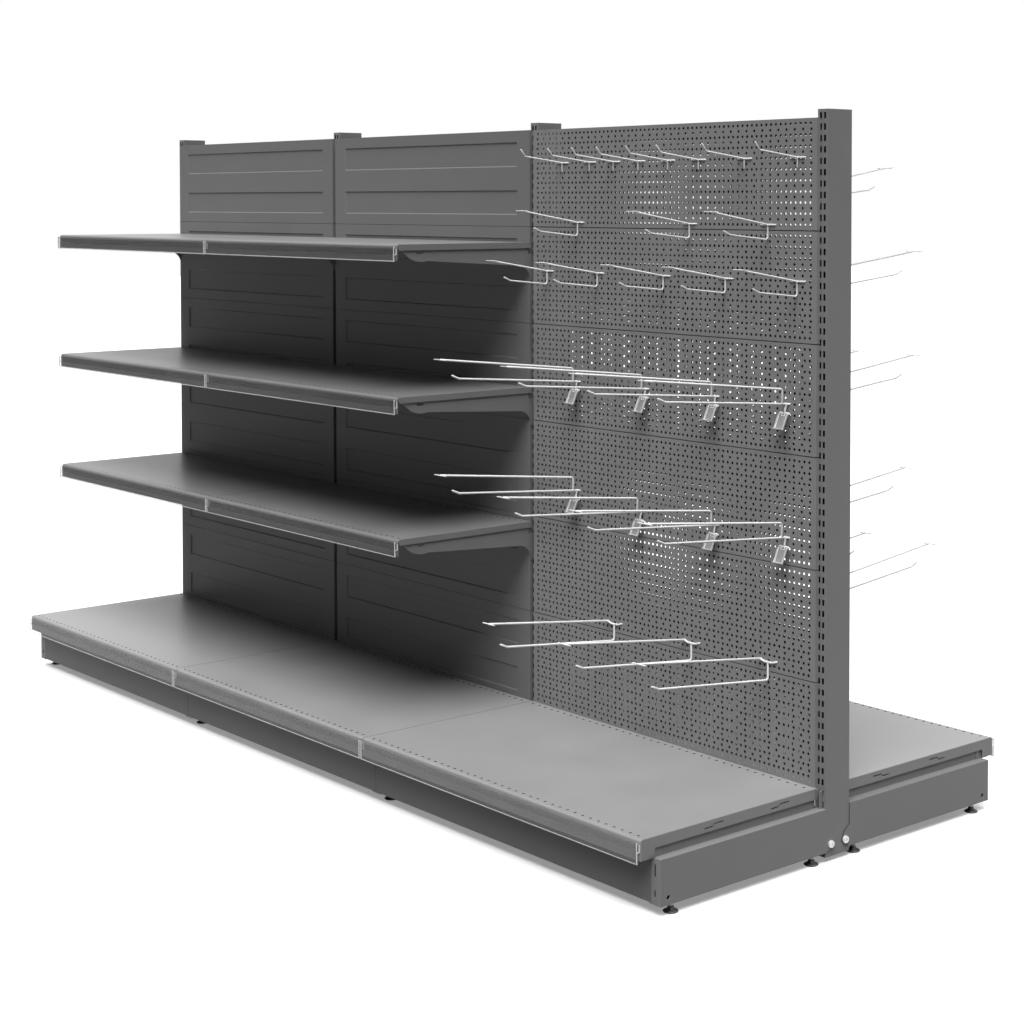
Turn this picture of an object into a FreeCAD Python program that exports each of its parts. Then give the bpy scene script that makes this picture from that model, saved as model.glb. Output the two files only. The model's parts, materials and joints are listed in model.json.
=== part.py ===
import FreeCAD, Part
import math
import os
import re

import Sketcher

# Double-sided gondola shelving: three bays between four slotted uprights. Lengths are in millimetres.
# The row runs along X with its near end at +X. Its front faces -Y. The floor is Z = 0.

SIZES = {
    # the row
    "bay_count": 3,
    "bay_width": 920,
    "hook_bay_width": 1000,
    # slotted uprights
    "upright_width": 30,
    "upright_depth": 78,
    "upright_wall": 2,
    "upright_low": 12,
    "upright_rise": 18,
    "slot_pitch": 25,
    "slot_width": 4,
    "slot_height": 14,
    "slot_spread": 11,
    "slot_drop": 46,
    # hooks that hang pieces in the slots
    "tongue_height": 8,
    "tongue_fit": 0.3,
    "lip_drop": 5,
    "lip_depth": 3,
    # back panels
    "panel_rows": 6,
    "panel_height": 250,
    "panel_low": 150,
    "panel_depth": 10,
    "panel_gauge": 1,
    "panel_gap": 15,
    "panel_seam": 1,
    "band_height": 64,
    "band_spread": 125,
    "band_inset": 52,
    "band_depth": 2.5,
    "hole_pitch": 15,
    "wide_pitch": 25,
    "hole_rise": 25,
    "pin_play": 1,
    # base legs
    "leg_gauge": 2,
    "leg_low": 23,
    "leg_height": 98,
    "leg_reach": 500,
    "ear_rise": 48,
    "ear_radius": 10,
    "ear_curve": 40,
    "blade_gauge": 2.5,
    "blade_rise": 40,
    "blade_root": 24,
    "rest_gauge": 2,
    "rest_offset": 7,
    "rest_inset": 60,
    "blade_slot": 2,
    "leg_slot_width": 4,
    "leg_slot_high": 26,
    "leg_slot_high_rise": 59,
    "leg_slot_low": 13,
    "leg_slot_low_rise": 17,
    # bolts that clamp the legs to the uprights
    "bolt_diameter": 8,
    "bolt_play": 0.6,
    "bolt_inset": 15,
    "bolt_rise": 18,
    "bolt_head": 14,
    "bolt_head_height": 5,
    # levelling feet
    "foot_diameter": 36,
    "foot_rim": 5,
    "foot_rise": 14,
    "foot_inset": 44,
    "foot_near": 30,
    "foot_plate": 3,
    "foot_plate_length": 40,
    "stud_diameter": 10,
    "stud_fit": 0.05,
    "stud_spare": 18,
    # sheet trays: base decks and shelves
    "tray_clear": 1,
    "tray_gap": 1,
    "nose_radius": 6,
    "deck_top": 166,
    "deck_depth": 528,
    "deck_gauge": 1.5,
    "deck_drop": 24,
    "deck_front": 44,
    "deck_toe": 40,
    "shelf_depth": 421,
    "shelf_gauge": 1,
    "shelf_drop": 15,
    "shelf_front": 30,
    "shelf_lift": 31,
    "shelf_low_slot": 20,
    "shelf_mid_slot": 34,
    "shelf_high_slot": 49,
    # shelf brackets
    "bracket_gauge": 2,
    "bracket_setback": 18,
    "bracket_nose": 14,
    "bracket_nose_run": 75,
    "bracket_front": 42,
    "bracket_nose_curve": 70,
    "bracket_back": 60,
    "bracket_heel": 100,
    "bracket_toe": 9,
    "bracket_step": 2,
    "bracket_seat": 5,
    # price rails
    "rail_wall": 1.5,
    "rail_reach": 9,
    "deck_rail_height": 50,
    "shelf_rail_height": 42,
    "rail_lip": 5,
    "rail_grip_top": 10,
    "rail_grip": 16,
    "rail_inset": 3,
    # plinths between the legs
    "plinth_gauge": 1.2,
    "plinth_low": 26,
    "plinth_height": 92,
    "plinth_return": 15,
    "plinth_gap": 0.5,
    "plinth_short": 13,
    "plinth_tab": 20,
    "plinth_tab_depth": 14,
    # wire hooks
    "pin_length": 14,
    "end_bar": 42,
    "tip_length": 21,
    "tip_angle": 23,
    "peg_wire": 4,
    "peg_span": 45,
    "peg_leg": 21,
    "peg_reach": 122,
    "peg_tilt": 7,
    "peg_tip_angle": 50,
    "short_wire": 4,
    "short_span": 45,
    "short_leg": 34,
    "short_arm": 180,
    "short_arm_tilt": 9.4,
    "short_prong": 122,
    "short_prong_tilt": 6,
    "long_wire": 5,
    "long_span": 50,
    "long_leg": 45,
    "long_arm": 375,
    "long_arm_tilt": 7,
    "long_prong": 340,
    "long_prong_tilt": 6,
    "tagged_wire": 5,
    "tagged_span": 15,
    "tagged_bend": 1.5,
    "tagged_stand": 13,
    "tagged_leg": 34,
    "tagged_arm": 430,
    "tagged_arm_tilt": 6,
    "tagged_prong": 375,
    "tagged_prong_tilt": 4.5,
    # swinging tag plates
    "tag_width": 27,
    "tag_length": 40,
    "tag_gauge": 1,
    "tag_lip": 8,
    "tag_edge": 3,
    "tag_lean": 25,
    "tag_drop": 21,
    "tag_stand": 9,
    "tag_pin": 4,
    "tag_barrel": 7,
    "tag_fit": 0.05,
    "tag_side": 1,
    "tag_notch": 8,
    "tag_notch_depth": 5,
}

# Heights and distances out from the middle of the row that several pieces share.
PLACES = {
    "row_start": "-((bay_count - 1) * bay_width + hook_bay_width) / 2",
    "face": "upright_depth / 2",
    "panel_face": "face + panel_depth",
    "panel_top": "panel_low + panel_rows * panel_height",
    "upright_top": "panel_top + upright_rise",
    "slot_first": "panel_low - slot_drop",
    "leg_top": "leg_low + leg_height",
    "leg_end": "face + leg_reach",
    "leg_width": "upright_width + 2 * leg_gauge",
    "bolt_out": "face - bolt_inset",
    "bolt_up": "leg_low + bolt_rise",
    "foot_far_out": "leg_end - foot_inset",
    "foot_near_out": "face + foot_near",
    "tray_back": "panel_face + tray_clear",
    "deck_nose": "tray_back + deck_depth",
    "shelf_nose": "tray_back + shelf_depth",
    "bracket_end": "shelf_nose - bracket_setback",
    "throat": "bracket_heel - bracket_back",
    "pivot_out": "panel_face + tag_stand",
}

# Hook places on the perforated bay: hole columns from the bay's middle, hole rows down from the top.
# Long hooks hang in the rows between, whose holes are wider apart.
PEG_SPOTS = [(column, 3) for column in (-25, -18, -12, -6, 1, 8, 18, 29)]
SHORT_SPOTS = [(-21, 9), (6, 9), (23, 9)] + [(column, 14) for column in (-29, -16, 0, 14, 29)]
TAGGED_SPOTS = [(column, 25) for column in (-21, -4, 12, 27)] + [(-21, 36), (-5, 37), (12, 37), (27, 37)]
LONG_SPOTS = [(-7, 48.5), (4, 48.5), (14, 48.5)]
REAR_SHORT_SPOTS = [(30, 5)]
REAR_LONG_SPOTS = [(14, 13.5), (14, 23.5), (7, 23.5), (13, 34.5), (16, 41.5), (8, 41.5)]

HOLE_ROWS = 10
WIRE_SIDES = 6
ROUND_SIDES = 8
SIDES = {"front": 180, "rear": 0}
LEVELS = ("low", "mid", "high")

doc = FreeCAD.newDocument("gondola_shelving")
sheet = doc.addObject("Spreadsheet::Sheet", "Sizes")
for line, (alias, number) in enumerate(SIZES.items(), 1):
    sheet.set(f"A{line}", alias)
    sheet.set(f"B{line}", str(number))
    sheet.setAlias(f"B{line}", alias)
doc.recompute()

nodes = []


def tied(formula, owner="Sizes."):
    """The formula with its places written out and its sizes read from the sheet."""

    def swap(word):
        name = word.group()
        if name in PLACES:
            return "(" + tied(PLACES[name], owner) + ")"
        return owner + name if name in SIZES else name

    return re.sub(r"[a-z]\w*", swap, formula)


def value(formula):
    return float(sheet.evalExpression(tied(formula, "")))


def count(formula):
    return round(value(formula))


def new_body(name):
    return doc.addObject("PartDesign::Body", name)


def new_sketch(body, role, offset="0"):
    """A sketch on one of the body's own planes, moved along that plane's normal."""
    flat = body.newObject("Sketcher::SketchObject", body.Name + "_sketch")
    plane = next(item for item in body.Origin.OriginFeatures if item.Role == role)
    flat.AttachmentSupport = [(plane, "")]
    flat.MapMode = "FlatFace"
    flat.setExpression("AttachmentOffset.Base.z", tied(offset))
    return flat


def hold(flat, piece, point, across, up):
    """Ties one point of a sketch to two formulas."""
    for kind, formula, axis in (("DistanceX", across, -2), ("DistanceY", up, -1)):
        if formula == "0":
            flat.addConstraint(Sketcher.Constraint("PointOnObject", piece, point, axis))
            continue
        rule = flat.addConstraint(Sketcher.Constraint(kind, -1, 1, piece, point, value(formula)))
        flat.setExpression(f"Constraints[{rule}]", tied(formula))


def bowed(here, there, radius, left):
    """The arc from here to there, less than a half turn, with its centre to the left or the right."""
    half = (there - here) * 0.5
    aside = FreeCAD.Vector(-half.y, half.x, 0).normalize()
    rise = math.sqrt(max(radius**2 - half.Length**2, 0))
    centre = here + half + aside * (rise if left else -rise)
    begin, end = (here, there) if left else (there, here)
    angles = [math.atan2(spot.y - centre.y, spot.x - centre.x) for spot in (begin, end)]
    circle = Part.Circle(centre, FreeCAD.Vector(0, 0, 1), radius)
    return Part.ArcOfCircle(circle, angles[0], angles[1])


def outline(flat, corners, closed=True):
    """Edges through corners (across, up). A corner with a radius and a side starts an arc."""
    spots = [FreeCAD.Vector(value(corner[0]), value(corner[1]), 0) for corner in corners]
    first = flat.GeometryCount
    ends = []
    last = len(corners) if closed else len(corners) - 1
    for index in range(last):
        here = spots[index]
        there = spots[(index + 1) % len(spots)]
        if len(corners[index]) == 2:
            flat.addGeometry(Part.LineSegment(here, there), False)
            ends.append((1, 2))
            continue
        radius, side = corners[index][2:]
        flat.addGeometry(bowed(here, there, value(radius), side == "left"), False)
        ends.append((1, 2) if side == "left" else (2, 1))
    for index in range(last if closed else last - 1):
        after = (index + 1) % last
        meeting = (first + index, ends[index][1], first + after, ends[after][0])
        flat.addConstraint(Sketcher.Constraint("Coincident", *meeting))
    for index in range(last):
        hold(flat, first + index, ends[index][0], *corners[index][:2])
        if len(corners[index]) > 2:
            radius = corners[index][2]
            rule = flat.addConstraint(Sketcher.Constraint("Radius", first + index, value(radius)))
            flat.setExpression(f"Constraints[{rule}]", tied(radius))
    if not closed:
        hold(flat, first + last - 1, ends[-1][1], *corners[-1][:2])


def rectangle(flat, left, low, right, high):
    outline(flat, [(left, low), (right, low), (right, high), (left, high)])


def polygon(flat, across, up, diameter, sides):
    """A small round as a polygon with its corners on the round's diameter."""
    corners = []
    for side in range(sides):
        turn = (side + 0.5) * 360 / sides
        corners.append((f"{across} + {diameter} / 2 * cos({turn})", f"{up} + {diameter} / 2 * sin({turn})"))
    outline(flat, corners)


def extrude(body, flat, length, kind="Pad", both=True):
    """A pad or pocket of a sketch, to both sides of it or along its normal."""
    feature = body.newObject("PartDesign::" + kind, body.Name + "_" + kind.lower())
    feature.Profile = flat
    feature.SideType = "Symmetric" if both else "One side"
    feature.setExpression("Length", tied(length))
    body.Tip = feature
    return feature


def bore(body, flat):
    """Cuts a sketch through everything on both sides of it."""
    feature = extrude(body, flat, "1", "Pocket")
    feature.Type = "ThroughAll"
    return feature


def loft(body, kind, low, high):
    feature = body.newObject("PartDesign::" + kind, body.Name + "_loft")
    feature.Profile = low
    feature.Sections = [high]
    body.Tip = feature


def bent_wire(body, role, path, wire, aside="0"):
    """A wire along a bent path in one plane, mitred at its bends."""
    spine = new_sketch(body, role, aside)
    outline(spine, path, closed=False)
    section = body.newObject("Sketcher::SketchObject", body.Name + "_section")
    section.AttachmentSupport = [(spine, "Edge1")]
    section.MapMode = "NormalToEdge"
    section.MapPathParameter = 0
    polygon(section, "0", "0", wire, WIRE_SIDES)
    doc.recompute()
    pipe = body.newObject("PartDesign::AdditivePipe", body.Name + "_pipe")
    pipe.Profile = section
    pipe.Spine = (spine, [f"Edge{index + 1}" for index in range(len(path) - 1)])
    pipe.Transition = "Right corner"
    body.Tip = pipe


def cross_bar(body, out, up, diameter, sides, length, aside="0"):
    """A straight bar along X."""
    flat = new_sketch(body, "YZ_Plane", aside)
    polygon(flat, out, up, diameter, sides)
    extrude(body, flat, length)


def place(source, name, across="0", out="0", up="0", turn=0):
    """A copy of a body, turned about Z and moved by three formulas."""
    link = doc.addObject("App::Link", name)
    link.LinkedObject = source
    link.Placement = FreeCAD.Placement(FreeCAD.Vector(), FreeCAD.Rotation(FreeCAD.Vector(0, 0, 1), turn))
    for letter, formula in (("x", across), ("y", out), ("z", up)):
        link.setExpression(f"Placement.Base.{letter}", tied(formula))
    return link


def node(item, label):
    item.Label = label
    nodes.append(item)


def group(pieces, label):
    """Like pieces that share one node, each a solid of its own."""
    bundle = doc.addObject("Part::Compound", label)
    bundle.Links = pieces
    node(bundle, label)


def outward(turn, formula):
    """A distance out from the middle of the row, on the side that a turn about Z faces."""
    return formula if turn == 0 else f"-({formula})"


def bay_size(bay):
    """The name of a bay's width: the last bay, with the hooks, has its own."""
    return "hook_bay_width" if bay == count("bay_count") - 1 else "bay_width"


def bay_middle(bay):
    return f"row_start + {bay} * bay_width + {bay_size(bay)} / 2"


def upright_middle(post):
    if post == 0:
        return "row_start"
    return f"row_start + {post - 1} * bay_width + {bay_size(post - 1)}"


def hole_up(row):
    return f"panel_top - ({row} + 0.5) * hole_rise"


def tongue(slot_middle):
    """A hooked tongue through an upright's face: its foot rests on the slot's lower edge."""
    seat = f"{slot_middle} - slot_height / 2"
    inner = "face - upright_wall - tongue_fit"
    return [
        ("face", seat),
        (inner, seat),
        (inner, f"{seat} - lip_drop"),
        (f"{inner} - lip_depth", f"{seat} - lip_drop"),
        (f"{inner} - lip_depth", f"{seat} + tongue_height"),
        ("face", f"{seat} + tongue_height"),
    ]


def make_upright():
    """A rectangular tube with two columns of slots in its front and rear walls, where pieces hang."""
    body = new_body("upright")
    flat = new_sketch(body, "XY_Plane", "upright_low")
    rectangle(flat, "-upright_width / 2", "-face", "upright_width / 2", "face")
    inner = "upright_width / 2 - upright_wall"
    deep = "face - upright_wall"
    rectangle(flat, f"-({inner})", f"-({deep})", inner, deep)
    extrude(body, flat, "upright_top - upright_low", both=False)
    flat = new_sketch(body, "YZ_Plane")
    for sign in ("-", ""):
        polygon(flat, f"{sign}(bolt_out)", "bolt_up", "(bolt_diameter + bolt_play)", ROUND_SIDES)
    bore(body, flat)
    rows = ["blade_slot"]
    for level in LEVELS:
        rows += [f"(shelf_{level}_slot - bracket_step)", f"shelf_{level}_slot"]
    flat = new_sketch(body, "XZ_Plane")
    for row in rows:
        middle = f"slot_first + {row} * slot_pitch"
        for sign in ("-", ""):
            column = f"{sign}slot_spread / 2"
            rectangle(
                flat,
                f"{column} - slot_width / 2",
                f"{middle} - slot_height / 2",
                f"{column} + slot_width / 2",
                f"{middle} + slot_height / 2",
            )
    bore(body, flat)
    return body


def make_leg(rests):
    """A folded channel that straddles the upright with two ears and hooks into its slots."""
    body = new_body("leg")
    flat = new_sketch(body, "YZ_Plane")
    outline(
        flat,
        [
            ("leg_end", "leg_low"),
            ("leg_end", "leg_top"),
            ("face", "leg_top"),
            ("face", "leg_low + ear_rise", "ear_curve", "left"),
            ("bolt_out - ear_radius * cos(30)", "bolt_up + ear_radius * sin(30)", "ear_radius", "left"),
            ("bolt_out", "bolt_up - ear_radius"),
            ("face", "leg_low"),
        ],
    )
    extrude(body, flat, "leg_width")
    flat = new_sketch(body, "YZ_Plane")
    rectangle(flat, "0", "0", "leg_end - leg_gauge", "leg_top - leg_gauge")
    extrude(body, flat, "upright_width", "Pocket")
    flat = new_sketch(body, "XY_Plane", "leg_low")
    for out in ("foot_near_out", "foot_far_out"):
        rectangle(
            flat,
            "-upright_width / 2",
            f"{out} - foot_plate_length / 2",
            "upright_width / 2",
            f"{out} + foot_plate_length / 2",
        )
        polygon(flat, "0", out, "(stud_diameter + 2 * stud_fit)", ROUND_SIDES)
    extrude(body, flat, "foot_plate", both=False)
    for aside in ("-slot_spread / 2", "slot_spread / 2"):
        flat = new_sketch(body, "YZ_Plane", aside)
        outline(
            flat,
            tongue("slot_first + blade_slot * slot_pitch")
            + [
                ("face", "leg_top + blade_rise"),
                ("panel_face", "leg_top + blade_rise"),
                ("panel_face", "leg_top - blade_root"),
                ("face", "leg_top - blade_root"),
            ],
        )
        extrude(body, flat, "blade_gauge")
    for sign in rests:
        flat = new_sketch(body, "YZ_Plane", f"{sign} * rest_offset")
        rectangle(
            flat,
            "tray_back + deck_gauge + tray_clear",
            "leg_top - leg_gauge / 2",
            "min(leg_end, deck_nose - rest_inset)",
            "deck_top - deck_gauge",
        )
        extrude(body, flat, "rest_gauge")
    flat = new_sketch(body, "YZ_Plane")
    polygon(flat, "bolt_out", "bolt_up", "(bolt_diameter + bolt_play)", ROUND_SIDES)
    bore(body, flat)
    flat = new_sketch(body, "XZ_Plane", "-(leg_end)")
    for rise, height in (("leg_slot_high_rise", "leg_slot_high"), ("leg_slot_low_rise", "leg_slot_low")):
        foot = f"leg_low + {rise}"
        rectangle(flat, "-leg_slot_width / 2", foot, "leg_slot_width / 2", f"{foot} + {height}")
    extrude(body, flat, "4 * leg_gauge", "Pocket")
    return body


def make_foot():
    """A levelling foot: a disc with a coned neck on a threaded stud."""
    body = new_body("foot")
    flat = new_sketch(body, "XY_Plane")
    polygon(flat, "0", "0", "foot_diameter", ROUND_SIDES)
    disc = extrude(body, flat, "foot_rise", both=False)
    doc.recompute()
    high = value("foot_rise")
    edges = enumerate(disc.Shape.Edges, 1)
    rim = [f"Edge{index}" for index, edge in edges if math.isclose(edge.BoundBox.ZMin, high, abs_tol=0.01)]
    cone = body.newObject("PartDesign::Chamfer", "foot_cone")
    cone.Base = (disc, rim)
    cone.setExpression("Size", tied("foot_rise - foot_rim"))
    body.Tip = cone
    flat = new_sketch(body, "XY_Plane", "foot_rise")
    polygon(flat, "0", "0", "stud_diameter", ROUND_SIDES)
    extrude(body, flat, "leg_low + foot_plate + stud_spare - foot_rise", both=False)
    return body


def make_bolt():
    """A bolt along X through both ears and the upright."""
    body = new_body("bolt")
    cross_bar(body, "0", "0", "bolt_diameter", ROUND_SIDES, "leg_width")
    middle = "(leg_width + bolt_head_height) / 2"
    cross_bar(body, "0", "0", "bolt_head", ROUND_SIDES, "bolt_head_height", middle)
    return body


def make_tray(kind, size, nose, top, toe=None):
    """A folded sheet with a rear flange, two side flanges and a rounded front."""
    body = new_body(kind)
    gauge = f"{kind}_gauge"
    width = f"({size} - 2 * tray_gap)"
    front = f"{top} - {kind}_front"
    low = f"{top} - {kind}_drop"
    under = f"{top} - {gauge}"
    shoulder = f"{top} - nose_radius"
    flat = new_sketch(body, "YZ_Plane")
    outline(
        flat,
        [
            ("tray_back", low),
            (f"tray_back + {gauge}", low),
            (f"tray_back + {gauge}", under),
            (f"{nose} - nose_radius", under, f"nose_radius - {gauge}", "right"),
            (f"{nose} - {gauge}", shoulder),
            (f"{nose} - {gauge}", front),
            (nose, front),
            (nose, shoulder, "nose_radius", "left"),
            (f"{nose} - nose_radius", top),
            ("tray_back", top),
        ],
    )
    extrude(body, flat, width)
    corner = [(f"{nose} - nose_radius", low), (nose, f"{low} + nose_radius")]
    if toe:
        corner = [(f"{nose} - {toe}", low), (f"{nose} - {toe}", front), (nose, front)]
    for sign in ("-", ""):
        flat = new_sketch(body, "YZ_Plane", f"{sign}({width} - {gauge}) / 2")
        outline(
            flat,
            [
                ("tray_back", low),
                *corner,
                (nose, shoulder, "nose_radius", "left"),
                (f"{nose} - nose_radius", top),
                ("tray_back", top),
            ],
        )
        extrude(body, flat, gauge)
    return body


def make_rail(kind, size, nose, top):
    """A price rail gripped to a tray's front: a rear plate, a web and a taller front wall."""
    body = new_body(kind + "_rail")
    flat = new_sketch(body, "YZ_Plane")
    out = f"{nose} + rail_reach"
    foot = f"{top} - {kind}_rail_height"
    web = f"{top} - rail_grip_top - rail_grip"
    outline(
        flat,
        [
            (nose, web),
            (f"{out} - rail_wall", web),
            (f"{out} - rail_wall", foot),
            (out, foot),
            (out, f"{top} - rail_lip"),
            (f"{out} - rail_wall", f"{top} - rail_lip"),
            (f"{out} - rail_wall", f"{web} + rail_wall"),
            (f"{nose} + rail_wall", f"{web} + rail_wall"),
            (f"{nose} + rail_wall", f"{top} - rail_grip_top"),
            (nose, f"{top} - rail_grip_top"),
        ],
    )
    extrude(body, flat, f"{size} - 2 * rail_inset")
    return body


def make_bracket():
    """A shelf bracket plate: two hooked tongues, a hollow heel and a rounded nose."""
    body = new_body("bracket")
    flat = new_sketch(body, "YZ_Plane")
    ledge = "-shelf_lift - slot_height / 2 + tongue_height"
    seat = "tray_back + shelf_gauge + bracket_seat"
    outline(
        flat,
        tongue("-shelf_lift - bracket_step * slot_pitch")
        + tongue("-shelf_lift")[:-1]
        + [
            (seat, ledge),
            (seat, "-shelf_gauge"),
            ("bracket_end", "-shelf_gauge"),
            ("bracket_end", "-bracket_nose", "bracket_nose_curve", "right"),
            ("bracket_end - bracket_nose_run", "-bracket_front"),
            ("face + bracket_toe + throat", "-bracket_back", "throat", "left"),
            ("face + bracket_toe", "-bracket_heel"),
            ("face", "-bracket_heel"),
        ],
    )
    extrude(body, flat, "bracket_gauge")
    return body


def make_plinth(name, size, tabs):
    """A kick plate on the legs' front ends, with returns between the legs and tabs in their slots."""
    body = new_body(name)
    left, right = (f"{size} / 2 - " + ("plinth_gap" if sign in tabs else "plinth_short") for sign in (-1, 1))
    high = "plinth_low + plinth_height"
    flat = new_sketch(body, "XZ_Plane", "-(leg_end + plinth_gauge / 2)")
    rectangle(flat, f"-({left})", "plinth_low", right, high)
    extrude(body, flat, "plinth_gauge")
    flat = new_sketch(body, "YZ_Plane")
    inner = "leg_end - plinth_return"
    for low in ("plinth_low", f"{high} - plinth_gauge"):
        rectangle(flat, inner, low, "leg_end + plinth_gauge / 2", f"{low} + plinth_gauge")
    extrude(body, flat, f"{size} - leg_width - 2 * tray_gap")
    for sign in tabs:
        flat = new_sketch(body, "YZ_Plane", f"{sign} * ({size} / 2 - plinth_gap - plinth_gauge / 2)")
        foot = "leg_low + leg_slot_high_rise"
        inner = "leg_end - plinth_tab_depth"
        rectangle(flat, inner, foot, "leg_end + plinth_gauge / 2", f"{foot} + plinth_tab")
        extrude(body, flat, "plinth_gauge")
    return body


def make_panel(name, size, banded, pins=()):
    """A back panel folded as a shallow tray, with two pressed bands or with holes for hook pins."""
    body = new_body(name)
    half = f"({size} - panel_gap) / 2"
    low = "panel_seam / 2"
    high = "panel_height - panel_seam / 2"
    flat = new_sketch(body, "XZ_Plane", "-(face + panel_depth / 2)")
    rectangle(flat, f"-{half}", low, half, high)
    extrude(body, flat, "panel_depth")
    flat = new_sketch(body, "XZ_Plane", "-(face)")
    inner = f"{half} - panel_gauge"
    rectangle(flat, f"-({inner})", f"{low} + panel_gauge", inner, f"{high} - panel_gauge")
    extrude(body, flat, "2 * (panel_depth - panel_gauge)", "Pocket")
    if banded:
        for sign in ("-", "+"):
            press_band(body, f"{half} - band_inset", f"panel_height / 2 {sign} band_spread / 2")
    if pins:
        flat = new_sketch(body, "XZ_Plane")
        for across, row, kind in pins:
            for sign in ("-", "+"):
                up = f"panel_height - ({row} + 0.5) * hole_rise"
                polygon(flat, f"{across} {sign} {kind}_span / 2", up, f"({kind}_wire + pin_play)", WIRE_SIDES)
        bore(body, flat)
    return body


def press_band(body, width, middle):
    """One band pressed back from the panel's face, with sloped edges and an even wall."""
    height = "band_height / 2"
    back = "panel_gauge / 2"
    steps = (
        ("AdditiveLoft", "panel_face - panel_gauge / 2", back),
        ("AdditiveLoft", "panel_face - panel_gauge - band_depth", f"{back} - band_depth"),
        ("SubtractiveLoft", "panel_face", "0"),
        ("SubtractiveLoft", "panel_face - band_depth", "-band_depth"),
    )
    flats = []
    for kind, out, grow in steps:
        flat = new_sketch(body, "XZ_Plane", f"-({out})")
        tall = f"({height} + {grow})"
        wide = f"({width} + {grow})"
        rectangle(flat, f"-{wide}", f"{middle} - {tall}", wide, f"{middle} + {tall}")
        flats.append(flat)
        if len(flats) == 2:
            loft(body, kind, *flats)
            flats = []


def add_pins(body, kind):
    """The bar along a hook's root, with its ends turned back as pins through the panel."""
    out = f"panel_face + {kind}_wire / 2"
    inner = f"{out} - pin_length"
    half = f"{kind}_span / 2"
    path = [(f"-{half}", inner), (f"-{half}", out), (half, out), (half, inner)]
    bent_wire(body, "XY_Plane", path, f"{kind}_wire")


def prong(kind, root, up):
    """The end of a prong that rises from its root, and its upturned tip."""
    end = f"panel_face + {kind}_prong"
    rise = f"{up} + (panel_face + {kind}_prong - ({root})) * tan({kind}_prong_tilt)"
    return [(end, rise), (f"{end} + tip_length * cos(tip_angle)", f"{rise} + tip_length * sin(tip_angle)")]


def arm_end(body, kind, root, up, aside="0"):
    """The outer end of an arm that rises from its root, with a short bar across it."""
    end = f"panel_face + {kind}_arm"
    rise = f"{up} + (panel_face + {kind}_arm - ({root})) * tan({kind}_arm_tilt)"
    cross_bar(body, end, rise, f"{kind}_wire", WIRE_SIDES, "end_bar", aside)
    return (end, rise)


def make_peg_hook():
    """A single peg: a bar on the panel, a short leg below it and a prong with its tip turned up."""
    body = new_body("peg_hook")
    out = "panel_face + peg_wire / 2"
    end = "panel_face + peg_reach"
    rise = "peg_reach * tan(peg_tilt)"
    tip = (f"{end} + tip_length * cos(peg_tip_angle)", f"{rise} + tip_length * sin(peg_tip_angle)")
    bent_wire(body, "YZ_Plane", [(out, "-peg_leg"), (out, "0"), (end, rise), tip], "peg_wire")
    add_pins(body, "peg")
    return body


def make_short_hook():
    """An arm with a cross bar over a prong, both from one wire bent down a leg at the root."""
    body = new_body("short_hook")
    out = "panel_face + short_wire / 2"
    foot = "-short_leg"
    path = [arm_end(body, "short", out, "0"), (out, "0"), (out, foot)] + prong("short", out, foot)
    bent_wire(body, "YZ_Plane", path, "short_wire")
    add_pins(body, "short")
    return body


def make_long_hook():
    """A prong on a leg under the middle of the root bar, and an arm from the bar's end."""
    body = new_body("long_hook")
    out = "panel_face + long_wire / 2"
    aside = "long_span / 2"
    foot = "-long_leg"
    bent_wire(body, "YZ_Plane", [(out, "0"), (out, foot)] + prong("long", out, foot), "long_wire")
    bent_wire(body, "YZ_Plane", [(out, "0"), arm_end(body, "long", out, "0", aside)], "long_wire", aside)
    add_pins(body, "long")
    return body


def make_tagged_hook():
    """An arm on a leg over a prong, whose wire runs back to the panel and down to a tag plate's pin."""
    body = new_body("tagged_hook")
    wire = "tagged_wire"
    out = f"panel_face + {wire} / 2 + tagged_bend"
    leg = f"{out} + tagged_stand"
    foot = "tagged_stand * tan(tagged_prong_tilt)"
    arm = arm_end(body, "tagged", leg, "tagged_leg")
    bent_wire(body, "YZ_Plane", [arm, (leg, "tagged_leg"), (leg, foot)], wire)
    run = [("pivot_out", "-tag_drop"), (out, "0")] + prong("tagged", out, "0")
    bent_wire(body, "YZ_Plane", run, wire)
    cross_bar(body, "pivot_out", "-tag_drop", "tag_pin", ROUND_SIDES, "tag_width + 2 * tag_side")
    add_pins(body, "tagged")
    return body


def make_tag():
    """A tag plate with folded edges and a lower lip, hung from two knuckles at its top."""
    body = new_body("tag")
    cross_bar(body, "0", "0", "tag_barrel", ROUND_SIDES, "tag_width")
    shell = f"tag_barrel / 2 * cos({180 / ROUND_SIDES})"
    inner = f"{shell} - tag_gauge"
    flat = new_sketch(body, "YZ_Plane")
    outline(
        flat,
        [
            (inner, "0"),
            (inner, "-tag_length"),
            (f"{shell} + tag_lip", "-tag_length"),
            (f"{shell} + tag_lip", "-tag_length + tag_gauge"),
            (shell, "-tag_length + tag_gauge"),
            (shell, "0"),
        ],
    )
    extrude(body, flat, "tag_width")
    for sign in ("-", ""):
        flat = new_sketch(body, "YZ_Plane", f"{sign}(tag_width - tag_gauge) / 2")
        rectangle(flat, inner, "-tag_length", f"{shell} + tag_edge", "-tag_barrel / 2")
        extrude(body, flat, "tag_gauge")
    flat = new_sketch(body, "YZ_Plane")
    round_bore = f"(tag_pin + 2 * tag_fit) / cos({180 / ROUND_SIDES})"
    polygon(flat, "0", "0", round_bore, ROUND_SIDES)
    bore(body, flat)
    flat = new_sketch(body, "XZ_Plane")
    rectangle(flat, "-tag_notch / 2", "-tag_notch_depth", "tag_notch / 2", "tag_barrel")
    bore(body, flat)
    return body


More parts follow.
